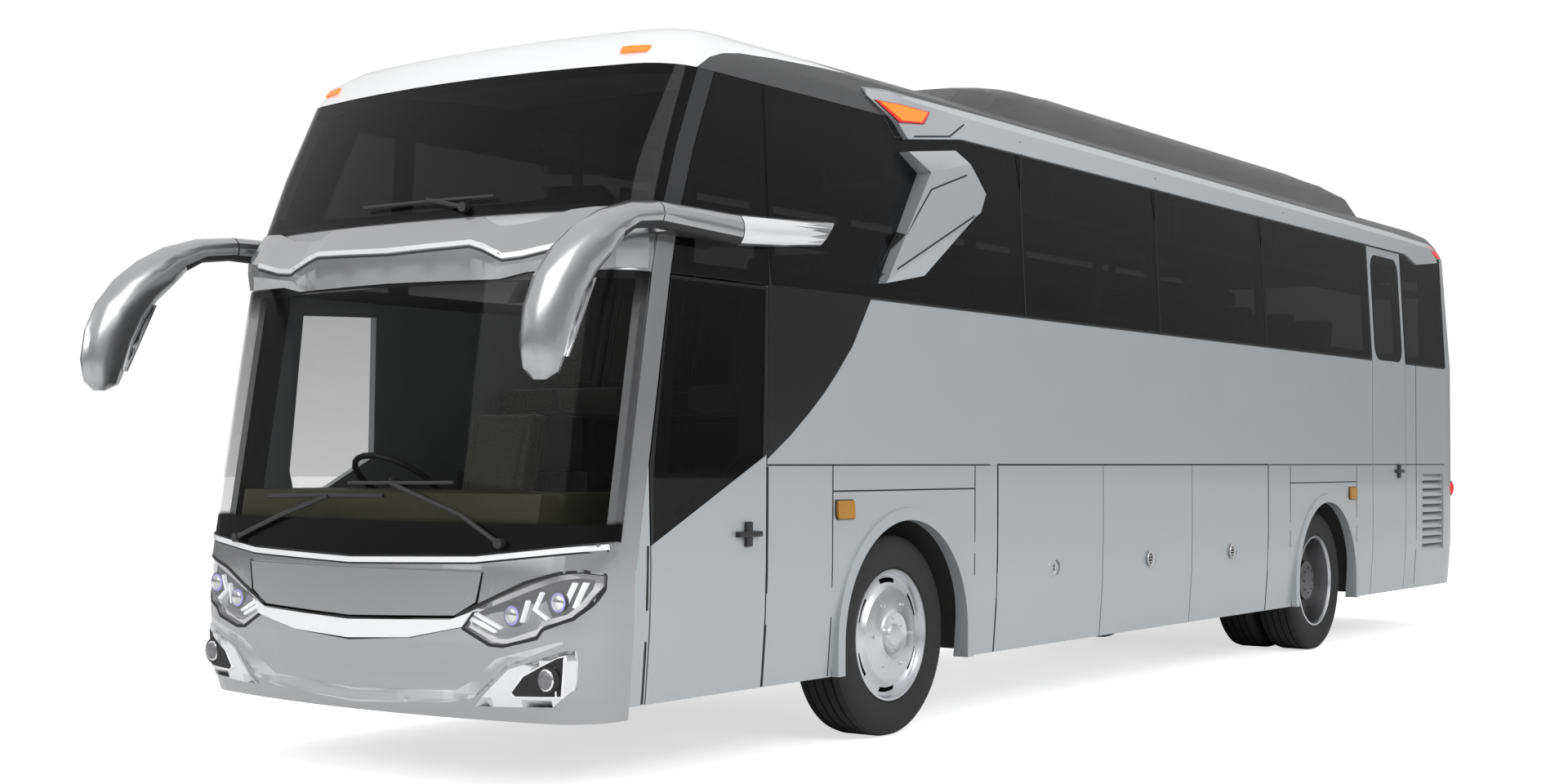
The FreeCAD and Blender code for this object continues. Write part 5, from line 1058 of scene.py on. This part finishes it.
# Tyre: its side and one groove as (radius, share of the half width), and the places of the grooves
TYRE_SIDE = ((0.338, 0.80), (0.352, 0.93), (0.385, 0.985), (0.43, 1.0), (0.47, 0.975), (0.497, 0.92),
             (0.512, 0.83))
GROOVE = ((0.520, 0.05), (0.507, 0.035), (0.507, -0.035), (0.520, -0.05))
GROOVE_PLACES = (0.56, 0.19)


def tyre_form(face):
    """Tyre with rounded shoulders, a stepped side and four tread grooves; face is its outer plane."""
    half = TYRE_WIDTH / 2
    outer = [(radius, half * share) for radius, share in TYRE_SIDE]
    for place in GROOVE_PLACES:
        outer += [(radius, half * (place + shift)) for radius, shift in GROOVE]
    profile = outer + [(r, -y) for r, y in reversed(outer)]
    profile.append(profile[0])
    form = bmesh.new()
    turned(form, profile, WHEEL_STEPS, (0, face - half, 0))
    return form


# Rims: outer profiles as (radius, out), bolt rings as (radius, count, out, size, turn, material), vents
RIM_LIP = ((0.334, -0.040), (0.342, -0.022), (0.338, -0.012), (0.326, -0.010), (0.318, -0.030))
RIM_FRONT = RIM_LIP + ((0.312, -0.050), (0.300, -0.050), (0.266, -0.040), (0.256, -0.034), (0.240, -0.018),
                       (0.20, -0.010), (0.135, -0.004), (0.128, 0.0), (0.118, 0.006), (0.110, 0.004),
                       (0.098, -0.002), (0.060, -0.002), (0.052, 0.010), (0, 0.014))
RIM_REAR = RIM_LIP + ((0.306, -0.10), (0.290, -0.155), (0.225, -0.172), (0.190, -0.150), (0.150, -0.145),
                      (0.146, -0.080), (0.120, -0.066), (0.080, -0.064), (0, -0.060))
RIM_BACKS = {"front": -0.20, "rear": -0.26}
BOLTS = {
    "front": ((0.178, 6, -0.004, 0.011, math.tau / 12, 0), (0.085, 6, 0.002, 0.006, 0.0, 0)),
    "rear": ((0.168, 10, -0.142, 0.013, 0.0, 2), (0.095, 8, -0.060, 0.008, 0.0, 2)),
}
VENT_REACH = (0.262, 0.305)
VENT_PITCH = 60
VENT_HALF = 17
VENT_BACK = -0.06
VENT_EDGE = 0.005
VENT_DEPTH = 0.07
# Where the vents' walls lie, in radius and depth; they are painted black as painted shade
VENT_WALLS = (0.255, 0.309)
VENT_WALL_DEPTHS = (-0.13, -0.054)
VENT_FACING = 0.3
SHADED_RADIUS = 0.312


def rim_form(profile, back, vents):
    """Rim from its outer profile closed by a back, with vent windows cut into the ring whose walls are
    painted black as painted shade.
    """
    form = bmesh.new()
    ring = list(profile) + [(0, back), (profile[0][0], back), profile[0]]
    turned(form, ring, WHEEL_STEPS, (0, 0, 0))
    if vents:
        faces = []
        for face in form.faces:
            at = face.calc_center_median()
            radius = math.hypot(at.x, at.z)
            angle = math.degrees(math.atan2(at.x, at.z)) % VENT_PITCH
            inside = VENT_REACH[0] < radius < VENT_REACH[1] and min(angle, VENT_PITCH - angle) < VENT_HALF
            if inside and at.y > VENT_BACK and face.normal.y > VENT_FACING:
                faces.append(face)
        bmesh.ops.inset_region(form, faces=faces, thickness=VENT_EDGE, use_even_offset=True)
        result = bmesh.ops.extrude_face_region(form, geom=faces)
        moved = [v for v in result["geom"] if isinstance(v, bmesh.types.BMVert)]
        bmesh.ops.translate(form, verts=moved, vec=(0, -VENT_DEPTH, 0))
        bmesh.ops.delete(form, geom=faces, context="FACES")
        # The vents' walls get the black moulding: painted shade inside the vents
        for face in form.faces:
            at = face.calc_center_median()
            near = VENT_WALLS[0] < math.hypot(at.x, at.z) < VENT_WALLS[1]
            if near and VENT_WALL_DEPTHS[0] < at.y < VENT_WALL_DEPTHS[1]:
                face.material_index = 1
    return form


def add_wheel(axle, side):
    sign = 1 if side == "left" else -1
    body = wheel_body(axle, side)
    faces = [WHEEL_FACE] if axle == "front" else [WHEEL_FACE, WHEEL_FACE - TWIN_PITCH]
    centre = (AXLES[axle], 0, TYRE_RADIUS)
    tyres = bmesh.new()
    for face in faces:
        join(tyres, tyre_form(face))
    rims = bmesh.new()
    profile = RIM_FRONT if axle == "front" else RIM_REAR
    join(rims, rim_form(profile, RIM_BACKS[axle], axle == "front"))
    for radius, count, out, size, turn, material in BOLTS[axle]:
        bolt_ring(rims, radius, count, (0, out, 0), size, turn, material)
    if axle == "rear":
        for face in rims.faces:
            at = face.calc_center_median()
            if math.hypot(at.x, at.z) < SHADED_RADIUS and face.material_index == 0:
                face.material_index = 2
    bmesh.ops.translate(rims, verts=rims.verts, vec=(0, WHEEL_FACE, 0))
    for name, form, keys in (("tyre", tyres, ["tyre"]), ("rim", rims, ["rim", "moulding_and_shade", "dark_rim"])):
        if sign < 0:
            flip_side(form)
        bmesh.ops.translate(form, verts=form.verts, vec=centre)
        item = piece(f"{name}_form_{axle}_{side}", form, keys, body)
        many = "s" if axle == "rear" else ""
        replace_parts(item, f"{name}{many}_{axle}_{side}")


for axle in ("front", "rear"):
    for side in ("left", "right"):
        add_wheel(axle, side)


# Stage, light and camera; the sky is (share of the way from below to above, level)
FLOOR_SIZE = 200
FLOOR_SHINE = 0.66
SKY = ((0.0, 0.10), (0.50, 0.14), (0.56, 0.30), (0.66, 0.75), (1.0, 0.95))


def add_stage():
    bpy.ops.mesh.primitive_plane_add(size=FLOOR_SIZE)
    floor = bpy.context.object
    floor.name = "studio_floor"
    material = new_material("studio_floor", (0.9, 0.9, 0.9), 0.0, 0.9)
    path = node_of(material, "ShaderNodeLightPath")
    seen = node_of(material, "ShaderNodeMath", operation="MAXIMUM")
    link(material, path.outputs["Is Camera Ray"], seen.inputs[0])
    link(material, path.outputs["Is Transmission Ray"], seen.inputs[1])
    shine = node_of(material, "ShaderNodeMapRange")
    shine.inputs["To Min"].default_value = 0.0
    shine.inputs["To Max"].default_value = FLOOR_SHINE
    link(material, seen.outputs["Value"], shine.inputs["Value"])
    shader = shader_of(material)
    shader.inputs["Emission Color"].default_value = (1, 1, 1, 1)
    link(material, shine.outputs["Result"], shader.inputs["Emission Strength"])
    floor.data.materials.append(material)


def add_world():
    world = bpy.data.worlds.new("studio")
    bpy.context.scene.world = world
    world.use_nodes = True
    tree = world.node_tree
    background = tree.nodes["Background"]
    place = tree.nodes.new("ShaderNodeTexCoord")
    split = tree.nodes.new("ShaderNodeSeparateXYZ")
    height = tree.nodes.new("ShaderNodeMapRange")
    height.inputs["From Min"].default_value = -1.0
    ramp_node = tree.nodes.new("ShaderNodeValToRGB")
    set_stops(ramp_node, [(share, (level, level, level)) for share, level in SKY])
    path = tree.nodes.new("ShaderNodeLightPath")
    seen = tree.nodes.new("ShaderNodeMath")
    seen.operation = "MAXIMUM"
    mix = tree.nodes.new("ShaderNodeMix")
    mix.data_type = "RGBA"
    mix.inputs["B"].default_value = (1, 1, 1, 1)
    tree.links.new(place.outputs["Generated"], split.inputs["Vector"])
    tree.links.new(split.outputs["Z"], height.inputs["Value"])
    tree.links.new(height.outputs["Result"], ramp_node.inputs["Fac"])
    tree.links.new(path.outputs["Is Camera Ray"], seen.inputs[0])
    tree.links.new(path.outputs["Is Transmission Ray"], seen.inputs[1])
    tree.links.new(seen.outputs["Value"], mix.inputs["Factor"])
    tree.links.new(ramp_node.outputs["Color"], mix.inputs["A"])
    tree.links.new(mix.outputs["Result"], background.inputs["Color"])
    background.inputs["Strength"].default_value = 1.0


def add_lamp(name, place, target, size, power):
    data = bpy.data.lights.new(name, "AREA")
    data.shape = "RECTANGLE"
    data.size = size[0]
    data.size_y = size[1]
    data.energy = power
    lamp = bpy.data.objects.new(name, data)
    bpy.context.scene.collection.objects.link(lamp)
    lamp.location = place
    lamp.rotation_euler = (Vector(target) - Vector(place)).to_track_quat("-Z", "Y").to_euler()


def add_camera():
    yaw, pitch, roll = (math.radians(a) for a in (CAMERA_YAW, CAMERA_PITCH, CAMERA_ROLL))
    ahead = Vector((-math.cos(yaw) * math.cos(pitch), -math.sin(yaw) * math.cos(pitch), math.sin(pitch)))
    level = ahead.cross(Vector((0, 0, 1))).normalized()
    above = level.cross(ahead)
    right = level * math.cos(roll) + above * math.sin(roll)
    up = above * math.cos(roll) - level * math.sin(roll)
    data = bpy.data.cameras.new("camera")
    data.lens = CAMERA_LENS
    data.sensor_width = CAMERA_SENSOR
    data.sensor_fit = "HORIZONTAL"
    camera = bpy.data.objects.new("camera", data)
    bpy.context.scene.collection.objects.link(camera)
    turn = Matrix((right, up, -ahead)).transposed().to_4x4()
    camera.matrix_world = Matrix.Translation(CAMERA_PLACE) @ turn
    bpy.context.scene.camera = camera


add_stage()
add_world()
add_lamp("key_lamp", (6, 14, 10), (0, 0, 1.5), (12, 6), 900)
add_lamp("nose_lamp", (15, -2, 6), (5, 0, 1.5), (6, 4), 260)
add_camera()
bpy.context.scene.view_settings.view_transform = "Standard"
